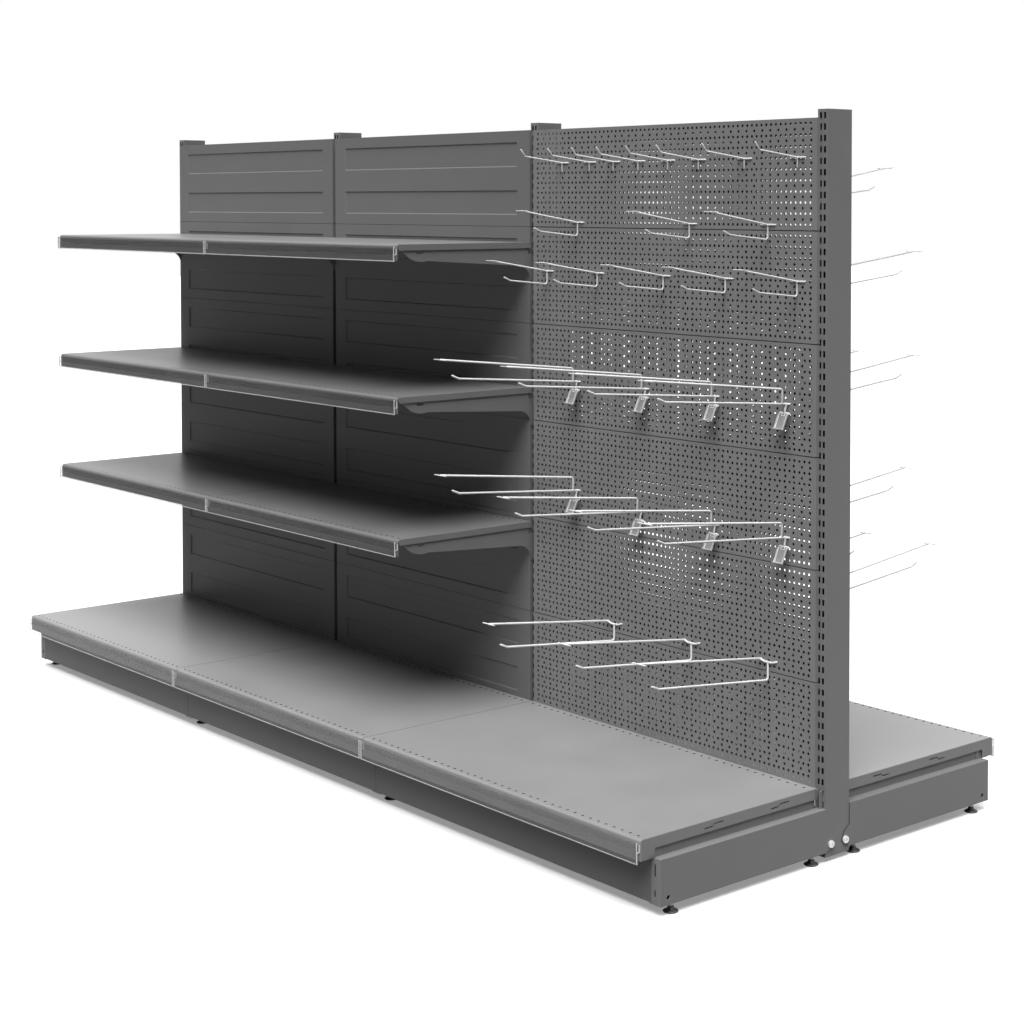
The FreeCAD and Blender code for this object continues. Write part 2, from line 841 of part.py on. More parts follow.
def build_frame():
    """Uprights, legs, feet and bolts."""
    upright = make_upright()
    posts = count("bay_count") + 1
    for post in range(posts):
        node(place(upright, f"post_{post}", upright_middle(post)), f"upright_{post + 1}")
    legs = {signs: make_leg(signs) for signs in ((-1, 1), (1,), (-1,))}
    foot = make_foot()
    bolt = make_bolt()
    bolts = []
    for side, turn in SIDES.items():
        row = []
        for post in range(posts):
            towards = [sign for sign, last in ((-1, 0), (1, posts - 1)) if post != last]
            signs = tuple(sorted(-sign if turn else sign for sign in towards))
            middle = upright_middle(post)
            row.append(place(legs[signs], f"leg_{side}_{post}", middle, turn=turn))
            head = 0 if 2 * post >= posts else 180
            out = outward(turn, "bolt_out")
            bolts.append(place(bolt, f"bolt_{side}_{post}", middle, out, "bolt_up", head))
            for spot in ("near", "far"):
                out = outward(turn, f"foot_{spot}_out")
                node(place(foot, "foot", middle, out), f"foot_{side}_{spot}_{post + 1}")
        group(row, f"base_legs_{side}")
    group(bolts, "leg_bolts")


def build_base():
    """Decks with their price rails, and the plinths under them."""
    decks = {}
    rails_made = {}
    for size in ("bay_width", "hook_bay_width"):
        decks[size] = make_tray("deck", size, "deck_nose", "deck_top", "deck_toe")
        rails_made[size] = make_rail("deck", size, "deck_nose", "deck_top")
    bays = count("bay_count")
    for side, turn in SIDES.items():
        rails = []
        kicks = []
        for bay in range(bays):
            size = bay_size(bay)
            middle = bay_middle(bay)
            node(place(decks[size], f"deck_{side}_{bay}", middle, turn=turn), f"base_deck_{side}_{bay + 1}")
            rails.append(place(rails_made[size], f"deck_rail_{side}_{bay}", middle, turn=turn))
            joined = [sign for sign, last in ((-1, 0), (1, bays - 1)) if bay != last]
            plinth = make_plinth("plinth", size, [-sign if turn else sign for sign in joined])
            kicks.append(place(plinth, f"plinth_{side}_{bay}", middle, turn=turn))
        group(rails, f"deck_price_rails_{side}")
        group(kicks, f"plinths_{side}")


def build_shelves():
    """Shelves on pairs of brackets, with price rails, in every bay but the last."""
    shelf = make_tray("shelf", "bay_width", "shelf_nose", "0")
    rail = make_rail("shelf", "bay_width", "shelf_nose", "0")
    bracket = make_bracket()
    for side, turn in SIDES.items():
        rails = []
        brackets = []
        for bay in range(count("bay_count") - 1):
            middle = bay_middle(bay)
            shelves = []
            for level in LEVELS:
                up = f"slot_first + shelf_{level}_slot * slot_pitch + shelf_lift"
                shelves.append(place(shelf, f"shelf_{side}_{bay}_{level}", middle, up=up, turn=turn))
                rails.append(place(rail, f"shelf_rail_{side}_{bay}_{level}", middle, up=up, turn=turn))
                for sign in ("-", "+"):
                    end = f"{middle} {sign} (bay_width - slot_spread) / 2"
                    brackets.append(place(bracket, f"bracket_{side}_{bay}_{level}", end, up=up, turn=turn))
            group(shelves, f"shelves_{side}_{bay + 1}")
        group(rails, f"shelf_price_rails_{side}")
        group(brackets, f"shelf_brackets_{side}")


def build_panels(pinned):
    """Back panels: banded in the shelf bays, holed for hooks in the last one."""
    banded = make_panel("banded_panel", "bay_width", True)
    bays = count("bay_count")
    for side, turn in SIDES.items():
        for bay in range(bays):
            stack = []
            for row in range(count("panel_rows")):
                panel = banded
                if bay == bays - 1:
                    first = (count("panel_rows") - 1 - row) * HOLE_ROWS
                    pins = [
                        (outward(turn, across), spot - first, kind)
                        for across, spot, kind in pinned[side]
                        if first <= spot < first + HOLE_ROWS
                    ]
                    panel = make_panel(f"hook_panel_{side}_{row}", "hook_bay_width", False, pins)
                up = f"panel_low + {row} * panel_height"
                stack.append(place(panel, f"panel_{side}_{bay}_{row}", bay_middle(bay), up=up, turn=turn))
            group(stack, f"back_panels_{side}_{bay + 1}")


def build_hooks():
    """Wire hooks in the last bay, and the tag plates that swing on some of them."""
    short_places = {"front": SHORT_SPOTS, "rear": REAR_SHORT_SPOTS}
    long_places = {"front": LONG_SPOTS, "rear": REAR_LONG_SPOTS}
    rows = (
        ("peg_hooks", "peg", make_peg_hook(), "hole_pitch", {"front": PEG_SPOTS}),
        ("short_hooks", "short", make_short_hook(), "hole_pitch", short_places),
        ("tag_hooks", "tagged", make_tagged_hook(), "hole_pitch", {"front": TAGGED_SPOTS}),
        ("long_hooks", "long", make_long_hook(), "wide_pitch", long_places),
    )
    last = bay_middle(count("bay_count") - 1)
    pinned = {side: [] for side in SIDES}
    for label, kind, hook, pitch, places in rows:
        pieces = []
        for side, spots in places.items():
            for column, row in spots:
                across = f"{column} * {pitch}"
                spot = f"{last} + {across}"
                pieces.append(place(hook, f"{kind}_{side}", spot, up=hole_up(row), turn=SIDES[side]))
                pinned[side].append((across, row, kind))
        group(pieces, label)
    tag = make_tag()
    for index, (column, row) in enumerate(TAGGED_SPOTS, 1):
        across = f"{last} + {column} * hole_pitch"
        link = place(tag, "tag", across, "-(pivot_out)", f"{hole_up(row)} - tag_drop")
        lean = FreeCAD.Rotation(FreeCAD.Vector(1, 0, 0), -value("tag_lean"))
        link.Placement.Rotation = FreeCAD.Rotation(FreeCAD.Vector(0, 0, 1), 180).multiply(lean.inverted())
        node(link, f"tag_plate_{index}")
    return pinned


def export():
    """Checks every object and shape, then writes one file for each node."""
    doc.recompute()
    broken = [item.Label for item in doc.Objects if {"Invalid", "Error"} & set(item.State)]
    shapes = {item.Label: Part.getShape(item) for item in nodes}
    broken += [label for label, shape in shapes.items() if shape.isNull() or not shape.isValid()]
    if broken:
        raise RuntimeError("failed: " + ", ".join(broken))
    os.makedirs("parts", exist_ok=True)
    for label, shape in shapes.items():
        shape.exportStep(f"parts/{label}.step")
        print(label, len(shape.Solids), "solids", round(shape.Volume), "mm3")


build_frame()
build_base()
build_shelves()
build_panels(build_hooks())
export()
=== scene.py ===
import bmesh
import bpy
import json
import math
from mathutils import Matrix, Vector


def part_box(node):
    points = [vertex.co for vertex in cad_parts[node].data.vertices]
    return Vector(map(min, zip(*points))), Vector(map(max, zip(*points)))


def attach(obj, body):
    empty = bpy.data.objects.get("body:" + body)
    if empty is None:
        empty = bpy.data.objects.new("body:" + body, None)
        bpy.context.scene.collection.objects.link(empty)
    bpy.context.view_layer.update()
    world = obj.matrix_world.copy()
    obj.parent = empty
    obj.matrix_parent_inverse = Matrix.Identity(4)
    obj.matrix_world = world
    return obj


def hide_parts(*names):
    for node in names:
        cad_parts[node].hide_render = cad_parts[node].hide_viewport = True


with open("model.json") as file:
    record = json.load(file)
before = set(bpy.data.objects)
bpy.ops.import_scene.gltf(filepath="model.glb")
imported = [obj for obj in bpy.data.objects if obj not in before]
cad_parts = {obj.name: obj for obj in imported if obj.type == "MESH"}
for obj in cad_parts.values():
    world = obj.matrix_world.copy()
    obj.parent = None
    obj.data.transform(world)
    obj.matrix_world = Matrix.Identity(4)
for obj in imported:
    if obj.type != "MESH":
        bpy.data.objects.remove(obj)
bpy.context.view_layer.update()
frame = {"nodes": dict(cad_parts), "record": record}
mm = 0.001  # the scene is in metres, sizes below are in millimetres
weldMm = 0.02  # corners nearer than this become one
sides = {"front": -1, "rear": 1}  # which way along Y each side faces
posts = (1, 2, 3, 4)


def toLinear(code):  # sRGB hex to linear colour
    parts = [int(code[i:i + 2], 16) / 255 for i in (1, 3, 5)]
    return [c / 12.92 if c <= 0.04045 else ((c + 0.055) / 1.055) ** 2.4 for c in parts] + [1.0]


def addNode(tree, kind, links=None, **settings):  # a link is a source socket or a plain value
    node = tree.nodes.new(kind)
    for name, setting in settings.items():
        setattr(node, name, setting)
    for key, given in (links or {}).items():
        if isinstance(given, bpy.types.NodeSocket):
            tree.links.new(given, node.inputs[key])
        else:
            node.inputs[key].default_value = given
    return node


def newMaterial(name):
    material = bpy.data.materials.new(name)
    material.use_nodes = True
    material.node_tree.nodes.clear()
    return material, material.node_tree


# Materials

def addNoise(tree, spot, sizeMm, detail):
    links = {"Vector": spot, "Scale": 1000 / sizeMm, "Detail": detail}
    return addNode(tree, "ShaderNodeTexNoise", links).outputs["Fac"]


def cloudedTone(tree, spot, tones, sizeMm, detail, rough, swing):  # a colour and a roughness by one noise
    cloud = addNoise(tree, spot, sizeMm, detail)
    dark, light = (toLinear(code) for code in tones)
    tone = addNode(tree, "ShaderNodeMix", {0: cloud, 6: dark, 7: light}, data_type="RGBA")
    sheen = addNode(tree, "ShaderNodeMapRange", {"Value": cloud, 3: rough - swing[0], 4: rough + swing[1]})
    return {"Base Color": tone.outputs[2], "Roughness": sheen.outputs[0]}


def addSurface(tree, values):
    shader = addNode(tree, "ShaderNodeBsdfPrincipled", values)
    addNode(tree, "ShaderNodeOutputMaterial", {"Surface": shader.outputs[0]})


paintLook = {  # dark and light tone, roughness, gloss
    "frame": ("#787878", "#808080", 0.42, 0.20),
    "panel": ("#737373", "#7b7b7b", 0.48, 0.08),
    "perforated": ("#808080", "#8b8b8b", 0.46, 0.12),
    "shelf": ("#717171", "#7c7c7c", 0.36, 0.35),
    # lighter than the frame: painted light on the decks
    "deck": ("#898989", "#939393", 0.38, 0.38),
    # darker than the frame: painted shade on the plinths under the decks
    "plinth": ("#626262", "#6a6a6a", 0.44, 0.14),
    # near black, painted shade: the insides of the panels and tubes, the walls of holes and the ears' edges
    "inside": ("#161616", "#1e1e1e", 0.60, 0.06),
    "mottleMm": 160,
    "mottleDetail": 4.0,
    "roughSwing": (0.05, 0.05),
    "peelMm": 5,  # real orange peel is finer than 2 mm and would not show
    "peelDetail": 2.0,
    "peelDepthMm": 0.05,
    "peelStrength": 0.10,
    "index": 1.5,
}


def powderCoat(name, part):  # sprayed polyester powder, oven cured: an even satin grey with orange peel
    p = paintLook
    *tones, rough, gloss = p[part]
    material, tree = newMaterial(name)
    spot = addNode(tree, "ShaderNodeTexCoord").outputs["Object"]
    coat = cloudedTone(tree, spot, tones, p["mottleMm"], p["mottleDetail"], rough, p["roughSwing"])
    peel = addNoise(tree, spot, p["peelMm"], p["peelDetail"])
    relief = {"Height": peel, "Strength": p["peelStrength"], "Distance": p["peelDepthMm"] * mm}
    bump = addNode(tree, "ShaderNodeBump", relief)
    addSurface(tree, {**coat, "Normal": bump.outputs[0], "IOR": p["index"], "Specular IOR Level": gloss})
    return material


plateLook = {  # dark and light tone, roughness, metal, size of the clouds
    "wire": ("#d4d4d4", "#e8e8e8", 0.32, 0.20, 40),
    "bolt": ("#cfcfcf", "#e6e6e6", 0.34, 0.50, 6),
    "detail": 3.0,
    "roughSwing": (0.06, 0.08),
}


def platedSteel(name, part):  # passivated zinc on drawn wire or a pressed head: faintly clouded
    *tones, rough, metal, cloudMm = plateLook[part]
    material, tree = newMaterial(name)
    spot = addNode(tree, "ShaderNodeTexCoord").outputs["Object"]
    plate = cloudedTone(tree, spot, tones, cloudMm, plateLook["detail"], rough, plateLook["roughSwing"])
    addSurface(tree, {**plate, "Metallic": metal})
    return material


plasticLook = {  # dark and light tone, roughness, opacity, gloss, size of the clouds
    "rail": ("#3a3a3a", "#464646", 0.18, 0.27, 0.20, 90),
    # a lighter copy of the clear rail: painted light on the deck rails
    "deckRailLit": ("#808080", "#8e8e8e", 0.18, 0.22, 0.20, 90),
    # near white and nearly opaque: painted highlight on the rails' cut ends and bead
    "railHighlight": ("#dadada", "#f0f0f0", 0.22, 0.85, 0.50, 30),
    "foot": ("#444444", "#585858", 0.30, 1.0, 0.50, 12),
    "tag": ("#cbcbcb", "#e8e8e8", 0.30, 1.0, 0.50, 18),
    "tagWindow": ("#7c7c7c", "#949494", 0.24, 1.0, 0.50, 18),
    "detail": 2.0,
    "roughSwing": (0.05, 0.07),
    "index": 1.49,
}


def mouldedPlastic(name, part):  # clear extruded rail, black nylon foot or pale tag: a smooth skin
    p = plasticLook
    *tones, rough, opaque, gloss, cloudMm = p[part]
    material, tree = newMaterial(name)
    spot = addNode(tree, "ShaderNodeTexCoord").outputs["Object"]
    skin = cloudedTone(tree, spot, tones, cloudMm, p["detail"], rough, p["roughSwing"])
    addSurface(tree, {**skin, "IOR": p["index"], "Specular IOR Level": gloss, "Alpha": opaque})
    return material


bareLook = {"Base Color": (0.8, 0.8, 0.8, 1.0), "Roughness": 1.0, "Specular IOR Level": 0.0}


def bareSurface(name):  # a matt pale grey, as Blender shows a face without a finish
    material, tree = newMaterial(name)
    addSurface(tree, bareLook)
    return material


finishes = {
    "frame_paint": powderCoat("powderCoatFrame", "frame"),
    "panel_paint": powderCoat("powderCoatPanel", "panel"),
    "shelf_paint": powderCoat("powderCoatShelf", "shelf"),
    "clear_rail": mouldedPlastic("extrudedClearPvc", "rail"),
    "hook_wire": platedSteel("zincPlatedWire", "wire"),
    "bolt_zinc": platedSteel("zincPlatedBolt", "bolt"),
    "foot_black": mouldedPlastic("mouldedBlackNylon", "foot"),
    "tag_plastic": mouldedPlastic("mouldedTagPlastic", "tag"),
}
for row in frame["record"]["subparts"]:  # every solid gets its finish, also those that stay as they are
    mesh = frame["nodes"][row["node"]].data
    mesh.materials.clear()
    mesh.materials.append(finishes[row["material_slot"]])
perforatedPaint = powderCoat("powderCoatPerforated", "perforated")
deckLitPaint = powderCoat("powderCoatDeckLit", "deck")
plinthShadePaint = powderCoat("powderCoatPlinthShade", "plinth")
# a matt pale copy of the wire for the front hooks: painted light
frontLitWire = bareSurface("paleWireLitFront")
paintedShade = powderCoat("paintedShadeInside", "inside")  # painted shade on inner faces, hole walls and ear edges
deckRailLit = mouldedPlastic("extrudedClearPvcDeckLit", "deckRailLit")
railHighlight = mouldedPlastic("extrudedPvcHighlight", "railHighlight")  # painted highlight on the cut ends and beads
tagWindow = mouldedPlastic("mouldedTagWindow", "tagWindow")
print("materials", len(finishes))


# Mesh helpers

def boxMm(node):  # a solid's low and high corner
    return [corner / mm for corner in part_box(node)]


def spanMm(node):  # a tray's ends along the row, its back and nose out from the middle, its bottom and top
    low, high = boxMm(node)
    return (low.x, high.x, *sorted((abs(low.y), abs(high.y))), low.z, high.z)


def inMetres(x, y, z):
    return (x * mm, y * mm, z * mm)


def addFace(bm, corners):
    bm.faces.new([bm.verts.new(corner) for corner in corners])


def addBand(bm, spot, low, lowXs, high, highXs):  # a face between two edges that have more corners
    addFace(bm, [spot(x, low) for x in lowXs] + [spot(x, high) for x in reversed(highXs)])


def addRim(bm, outer, inner):  # faces between two loops of as many corners
    for i in range(len(outer)):
        j = (i + 1) % len(outer)
        addFace(bm, [outer[i], outer[j], inner[j], inner[i]])


def addWalls(bm, loop, gauge):  # the walls of a cut-out through sheet that faces -Y
    addRim(bm, *[[inMetres(x, depth, z) for x, z in loop] for depth in (0, gauge)])


def takeMesh(bm, name):
    mesh = bpy.data.meshes.new(name)
    bm.to_mesh(mesh)
    bm.free()
    return mesh


def toMesh(bm, name, smooth=None):  # welds, points the faces outwards and names the mesh
    bmesh.ops.remove_doubles(bm, verts=bm.verts, dist=weldMm * mm)
    bmesh.ops.recalc_face_normals(bm, faces=bm.faces)
    mesh = takeMesh(bm, name)
    if smooth:
        mesh.shade_smooth()
        mesh.set_sharp_from_angle(angle=math.radians(smooth))
    return mesh


def addObject(name, content):
    piece = bpy.data.objects.new(name, content)
    bpy.context.scene.collection.objects.link(piece)
    return piece


def evaluatedMesh(holder):  # what the holder's modifiers make of its mesh
    bpy.context.view_layer.update()
    graph = bpy.context.evaluated_depsgraph_get()
    return bpy.data.meshes.new_from_object(holder.evaluated_get(graph))


def joinMeshes(name, meshes, smooth=None):
    bm = bmesh.new()
    for mesh in meshes:
        bm.from_mesh(mesh)
    return toMesh(bm, name, smooth)


def addPrism(bm, section, spot, *stations):  # a closed section run through its stations
    rings = [[bm.verts.new(spot(run, *corner)) for corner in section] for run in stations]
    made = [bm.faces.new(ring) for ring in (rings[0], rings[-1])]
    for a, b in zip(rings, rings[1:]):
        for i in range(len(section)):
            j = (i + 1) % len(section)
            made.append(bm.faces.new([a[i], a[j], b[j], b[i]]))
    return made


def revolve(bm, profile, segments, spot):  # closed by its ends on the axis
    rings = []
    for radius, height in profile:
        ring = []
        for k in range(segments if radius else 1):
            turn = 2 * math.pi * k / segments
            ring.append(bm.verts.new(spot(radius * math.cos(turn), radius * math.sin(turn), height)))
        rings.append(ring)
    for a, b in zip(rings, rings[1:]):
        for k in range(segments):
            corners = [a[k % len(a)], a[(k + 1) % len(a)], b[(k + 1) % len(b)], b[k % len(b)]]
            bm.faces.new(list(dict.fromkeys(corners)))


def arc(centre, radius, start, end, steps):  # points on a round stretch, angles in degrees
    points = []
    for i in range(steps + 1):
        turn = math.radians(start + (end - start) * i / steps)
        points.append((centre[0] + radius * math.cos(turn), centre[1] + radius * math.sin(turn)))
    return points


def plateMesh(name, outline, holes, thick):  # a flat plate with cut-outs, in XY, centred on Z
    curve = bpy.data.curves.new(name, "CURVE")
    curve.dimensions = "2D"
    curve.fill_mode = "BOTH"
    curve.extrude = thick * mm / 2
    for loop in [outline] + holes:
        spline = curve.splines.new("POLY")
        spline.points.add(len(loop) - 1)
        for point, (x, y) in zip(spline.points, loop):
            point.co = (x * mm, y * mm, 0, 1)
        spline.use_cyclic_u = True
    holder = bpy.data.objects.new(name, curve)
    mesh = bpy.data.meshes.new_from_object(holder)
    bpy.data.objects.remove(holder)
    bpy.data.curves.remove(curve)
    return mesh


def standPlate(plate, sign, x, height):  # turns a flat plate to stand along Y
    turn = Matrix(((0, 0, 1, 0), (sign, 0, 0, 0), (0, 1, 0, 0), (0, 0, 0, 1)))
    plate.transform(Matrix.Translation(inMetres(x, 0, height)) @ turn)
    return plate


def solidFaces(node):  # a solid's own flat faces, without the triangles of its mesh
    bm = bmesh.new()
    bm.from_mesh(frame["nodes"][node].data)
    bmesh.ops.remove_doubles(bm, verts=bm.verts, dist=weldMm / 2 * mm)
    bmesh.ops.dissolve_limit(bm, angle_limit=math.radians(1), verts=bm.verts, edges=bm.edges)
    return bm


def twoFinishes(mesh, main, other, isOther):  # one finish, and another on the faces that ask for it
    mesh.materials.clear()
    mesh.materials.append(main)
    mesh.materials.append(other)
    for face in mesh.polygons:
        face.material_index = 1 if isOther(face) else 0


def finishPiece(name, mesh, body, slot, *nodes):
    piece = addObject(name, mesh)
    if not mesh.materials:
        mesh.materials.append(finishes[slot])
    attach(piece, body)
    if nodes:
        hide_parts(*nodes)


# Geometry Nodes: runs of one cell from seed points, turned by the seeds' own attribute

def buildRunTree():
    tree = bpy.data.node_groups.new("cellRuns", "GeometryNodeTree")
    tree.interface.new_socket("Geometry", in_out="OUTPUT", socket_type="NodeSocketGeometry")
    inputs = {
        "Geometry": "Geometry",
        "Count": "Int",
        "Step": "Vector",
        "Cell": "Object",
        "Weld": "Float",
        "Finish": "Material",
    }
    for name, kind in inputs.items():
        tree.interface.new_socket(name, in_out="INPUT", socket_type="NodeSocket" + kind)
    given = addNode(tree, "NodeGroupInput").outputs
    line = addNode(tree, "GeometryNodeMeshLine", {"Count": given["Count"], "Offset": given["Step"]})
    links = {"Points": given["Geometry"], "Instance": line.outputs[0]}
    rows = addNode(tree, "GeometryNodeInstanceOnPoints", links)
    spots = addNode(tree, "GeometryNodeRealizeInstances", {0: rows.outputs[0]})
    turn = addNode(tree, "GeometryNodeInputNamedAttribute", {"Name": "turn"}, data_type="FLOAT")
    spin = addNode(tree, "ShaderNodeCombineXYZ", {"Z": turn.outputs[0]})
    cell = addNode(tree, "GeometryNodeObjectInfo", {"Object": given["Cell"]})
    links = {"Points": spots.outputs[0], "Instance": cell.outputs["Geometry"], "Rotation": spin.outputs[0]}
    cells = addNode(tree, "GeometryNodeInstanceOnPoints", links)
    real = addNode(tree, "GeometryNodeRealizeInstances", {0: cells.outputs[0]})
    links = {"Geometry": real.outputs[0], "Distance": given["Weld"]}
    weld = addNode(tree, "GeometryNodeMergeByDistance", links)
    links = {"Geometry": weld.outputs[0], "Material": given["Finish"]}
    painted = addNode(tree, "GeometryNodeSetMaterial", links)
    addNode(tree, "NodeGroupOutput", {0: painted.outputs[0]})
    return tree


runTree = buildRunTree()


def runCells(name, cellMesh, seeds, slot, count=1, step=(0, 0, 0)):  # seeds are (place, turn in degrees)
    cell = addObject(name + "Cell", cellMesh)
    mesh = bpy.data.meshes.new(name + "Seeds")
    mesh.from_pydata([place for place, turn in seeds], [], [])
    turns = mesh.attributes.new("turn", "FLOAT", "POINT")
    for i, (place, turn) in enumerate(seeds):
        turns.data[i].value = math.radians(turn)
    holder = addObject(name + "Seeds", mesh)
    modifier = holder.modifiers.new("cellRuns", "NODES")
    modifier.node_group = runTree
    values = {"Count": count, "Step": step, "Cell": cell, "Weld": weldMm * mm, "Finish": finishes[slot]}
    for item in runTree.interface.items_tree:
        if item.in_out == "INPUT" and item.name in values:
            modifier[item.identifier] = values[item.name]
    made = evaluatedMesh(holder)
    made.materials.clear()  # realized cells bring an empty slot along
    made.materials.append(finishes[slot])
    holder.modifiers.remove(modifier)
    bpy.data.objects.remove(holder)
    bpy.data.objects.remove(cell)
    return made


# Perforated back panels of the hook bay

perforated = {
    "holeMm": 6.9,
    "gaugeMm": 1,
    "depthMm": 10,
    "panelMm": 250,
    "seamMm": 1.1,
    "solidSeamMm": 0.5,
    "lipMm": (1, 8),
    "lipGapMm": 0.2,
    "lipInsetMm": 10,
    "stripMm": 10,
    "closePitchMm": 15,
    "closeCount": 64,
    "widePitchMm": 25,
    "wideCount": 39,
    "rowPitchMm": 25,
    "closeRows": 10,
}


def holeCell(name, width, height, hole, gauge):  # a hexagon hole in a rectangle of sheet that faces -Y
    bm = bmesh.new()
    ring = arc((0, 0), hole / 2, 0, 300, 5)
    for depth in (0, gauge):
        point = lambda x, z: inMetres(x, depth, z)
        h = [point(*corner) for corner in ring]
        corners = ((-1, 1), (1, 1), (1, -1), (-1, -1))
        tl, tr, br, bl = (point(x * width / 2, z * height / 2) for x, z in corners)
        addFace(bm, [tl, tr, h[1], h[2]])
        addFace(bm, [tr, br, h[5], h[0], h[1]])
        addFace(bm, [br, bl, h[4], h[5]])
        addFace(bm, [bl, tl, h[2], h[3], h[4]])
    addWalls(bm, ring, gauge)
    return toMesh(bm, name)


def edgeXs(half, pitch, count):  # where a strip's cells meet its neighbours, with the sheet's two edges
    reach = pitch * count / 2
    return [-half] + [-reach + pitch * i for i in range(count + 1)] + [half]


def perforatedStack(name, side, first, last):  # panels first to last, counted down from the top
    p = perforated
    low, high = boxMm(f"back_panels_{side}_3")
    sign = sides[side]
    middle, half = (low.x + high.x) / 2, (high.x - low.x) / 2
    top = high.z + p["solidSeamMm"]
    face, turn = (low.y, 0) if sign < 0 else (high.y, 180)
    gauge, reach = p["gaugeMm"], p["stripMm"] / 2
    xs = {"close": (p["closePitchMm"], p["closeCount"]), "wide": (p["widePitchMm"], p["wideCount"])}
    strips = []
    for i in range(p["closeRows"]):
        strips.append(("close", (i + 0.5) * p["rowPitchMm"]))
        if i < p["closeRows"] - 1:
            strips.append(("wide", (i + 1) * p["rowPitchMm"]))
    stripEdges = [centre + way * reach for kind, centre in strips for way in (-1, 1)]
    seeds = {"close": [], "wide": []}
    bm = bmesh.new()
    for panel in range(first, last + 1):
        start = top - panel * p["panelMm"]
        at = lambda x, depth, down: inMetres(middle + x, face - sign * depth, start - down)
        back = lambda x, down: at(x, p["depthMm"], down)
        rims = []
        for inset in (0, gauge):  # outer and inner skin of the sheet
            width, rise = half - inset, p["seamMm"] + inset
            bottom = p["panelMm"] - rise
            spot = lambda x, down: at(x, inset, down)
            edge, edgeList = rise, [-width, width]
            for kind, centre in strips:
                pitch, count = xs[kind]
                cells = edgeXs(width, pitch, count)
                upper, lower = centre - reach, centre + reach
                addBand(bm, spot, edge, edgeList, upper, cells)
                for ends in (cells[:2], cells[-2:]):
                    addBand(bm, spot, upper, ends, lower, ends)
                edge, edgeList = lower, cells
                if inset == 0:
                    seeds[kind].append((spot(-pitch * (count - 1) / 2, centre), turn))
            addBand(bm, spot, edge, edgeList, bottom, [-width, width])
            for x in (-width, width):
                flange = [spot(x, down) for down in [rise] + stripEdges + [bottom]]
                addFace(bm, flange + [back(x, bottom), back(x, rise)])
            for down in (rise, bottom):
                addFace(bm, [spot(-width, down), spot(width, down), back(width, down), back(-width, down)])
            rims.append([(-width, rise), (width, rise), (width, bottom), (-width, bottom)])
        addRim(bm, *[[back(*corner) for corner in rim] for rim in rims])
        if panel:  # a lip behind the seam above, so that no light comes through it
            (thick, tall), near = p["lipMm"], p["depthMm"] + p["lipGapMm"]
            lip = [(near + a * thick, b * tall) for a, b in ((0, 0.5), (1, 0.5), (1, -0.5), (0, -0.5))]
            addPrism(bm, lip, at, p["lipInsetMm"] - half, half - p["lipInsetMm"])
    meshes = [toMesh(bm, name + "Plain")]
    for kind, (pitch, count) in xs.items():
        cell = holeCell(kind + "Hole", pitch, p["stripMm"], p["holeMm"], gauge)
        meshes.append(runCells(name + kind, cell, seeds[kind], "panel_paint", count, (pitch * mm, 0, 0)))
    mesh = joinMeshes(name, meshes)
    wallArea = p["holeMm"] * gauge * mm * mm  # more than one wall of a hole has
    # the hole walls and inner skins get the near black paint: painted shade between the two sheets
    shadeFaces = lambda f: f.area < wallArea or f.normal.y * sign < -0.5
    twoFinishes(mesh, perforatedPaint, paintedShade, shadeFaces)
    return mesh


for side in sides:
    upper, lower = f"perforatedPanels_{side}_upper", f"perforatedPanels_{side}_lower"
    mesh = perforatedStack(upper, side, 0, 2)
    finishPiece(upper, mesh, "frame", "panel_paint", f"back_panels_{side}_3")
    finishPiece(lower, perforatedStack(lower, side, 3, 5), "frame", "panel_paint")
print("perforated panels")


# Slotted uprights

slotted = {
    "wallMm": 2,
    "skinMm": 0.8,  # faces this far inside the tube are its inner side
    "slotWidthMm": 6,
    "slotHeightMm": 14,
    "slotSpreadMm": 12,
    "pitchMm": 25,
    "firstMm": 104,
    "rows": 63,
}


def slotCell(width):  # a stretch of the tube's wall with its two slots, facing -Y
    p = slotted
    bm = bmesh.new()
    tall, half = p["slotHeightMm"] / 2, p["pitchMm"] / 2
    spread, slot = p["slotSpreadMm"] / 2, p["slotWidthMm"] / 2
    columns = [way * spread + edge * slot for way in (-1, 1) for edge in (-1, 1)]
    for inset in (0, p["wallMm"]):  # outer and inner side of the wall
        wide = width / 2 - inset
        at = lambda x, z: inMetres(x, inset, z)
        low, high = [at(x, -tall) for x in columns], [at(x, tall) for x in columns]
        bl, br, tl, tr = at(-wide, -half), at(wide, -half), at(-wide, half), at(wide, half)
        addFace(bm, [bl, low[0], high[0], tl])
        addFace(bm, [br, tr, high[3], low[3]])
        addFace(bm, [low[1], low[2], high[2], high[1]])
        addFace(bm, [tl] + high + [tr])
        addFace(bm, [bl] + low + [br])
    for a, b in (columns[:2], columns[2:]):
        addWalls(bm, [(a, -tall), (b, -tall), (b, tall), (a, tall)], p["wallMm"])
    return toMesh(bm, "slotCell")


postBoxes = {post: boxMm(f"upright_{post}") for post in posts}
postMiddles = {post: (low.x + high.x) / 2 for post, (low, high) in postBoxes.items()}


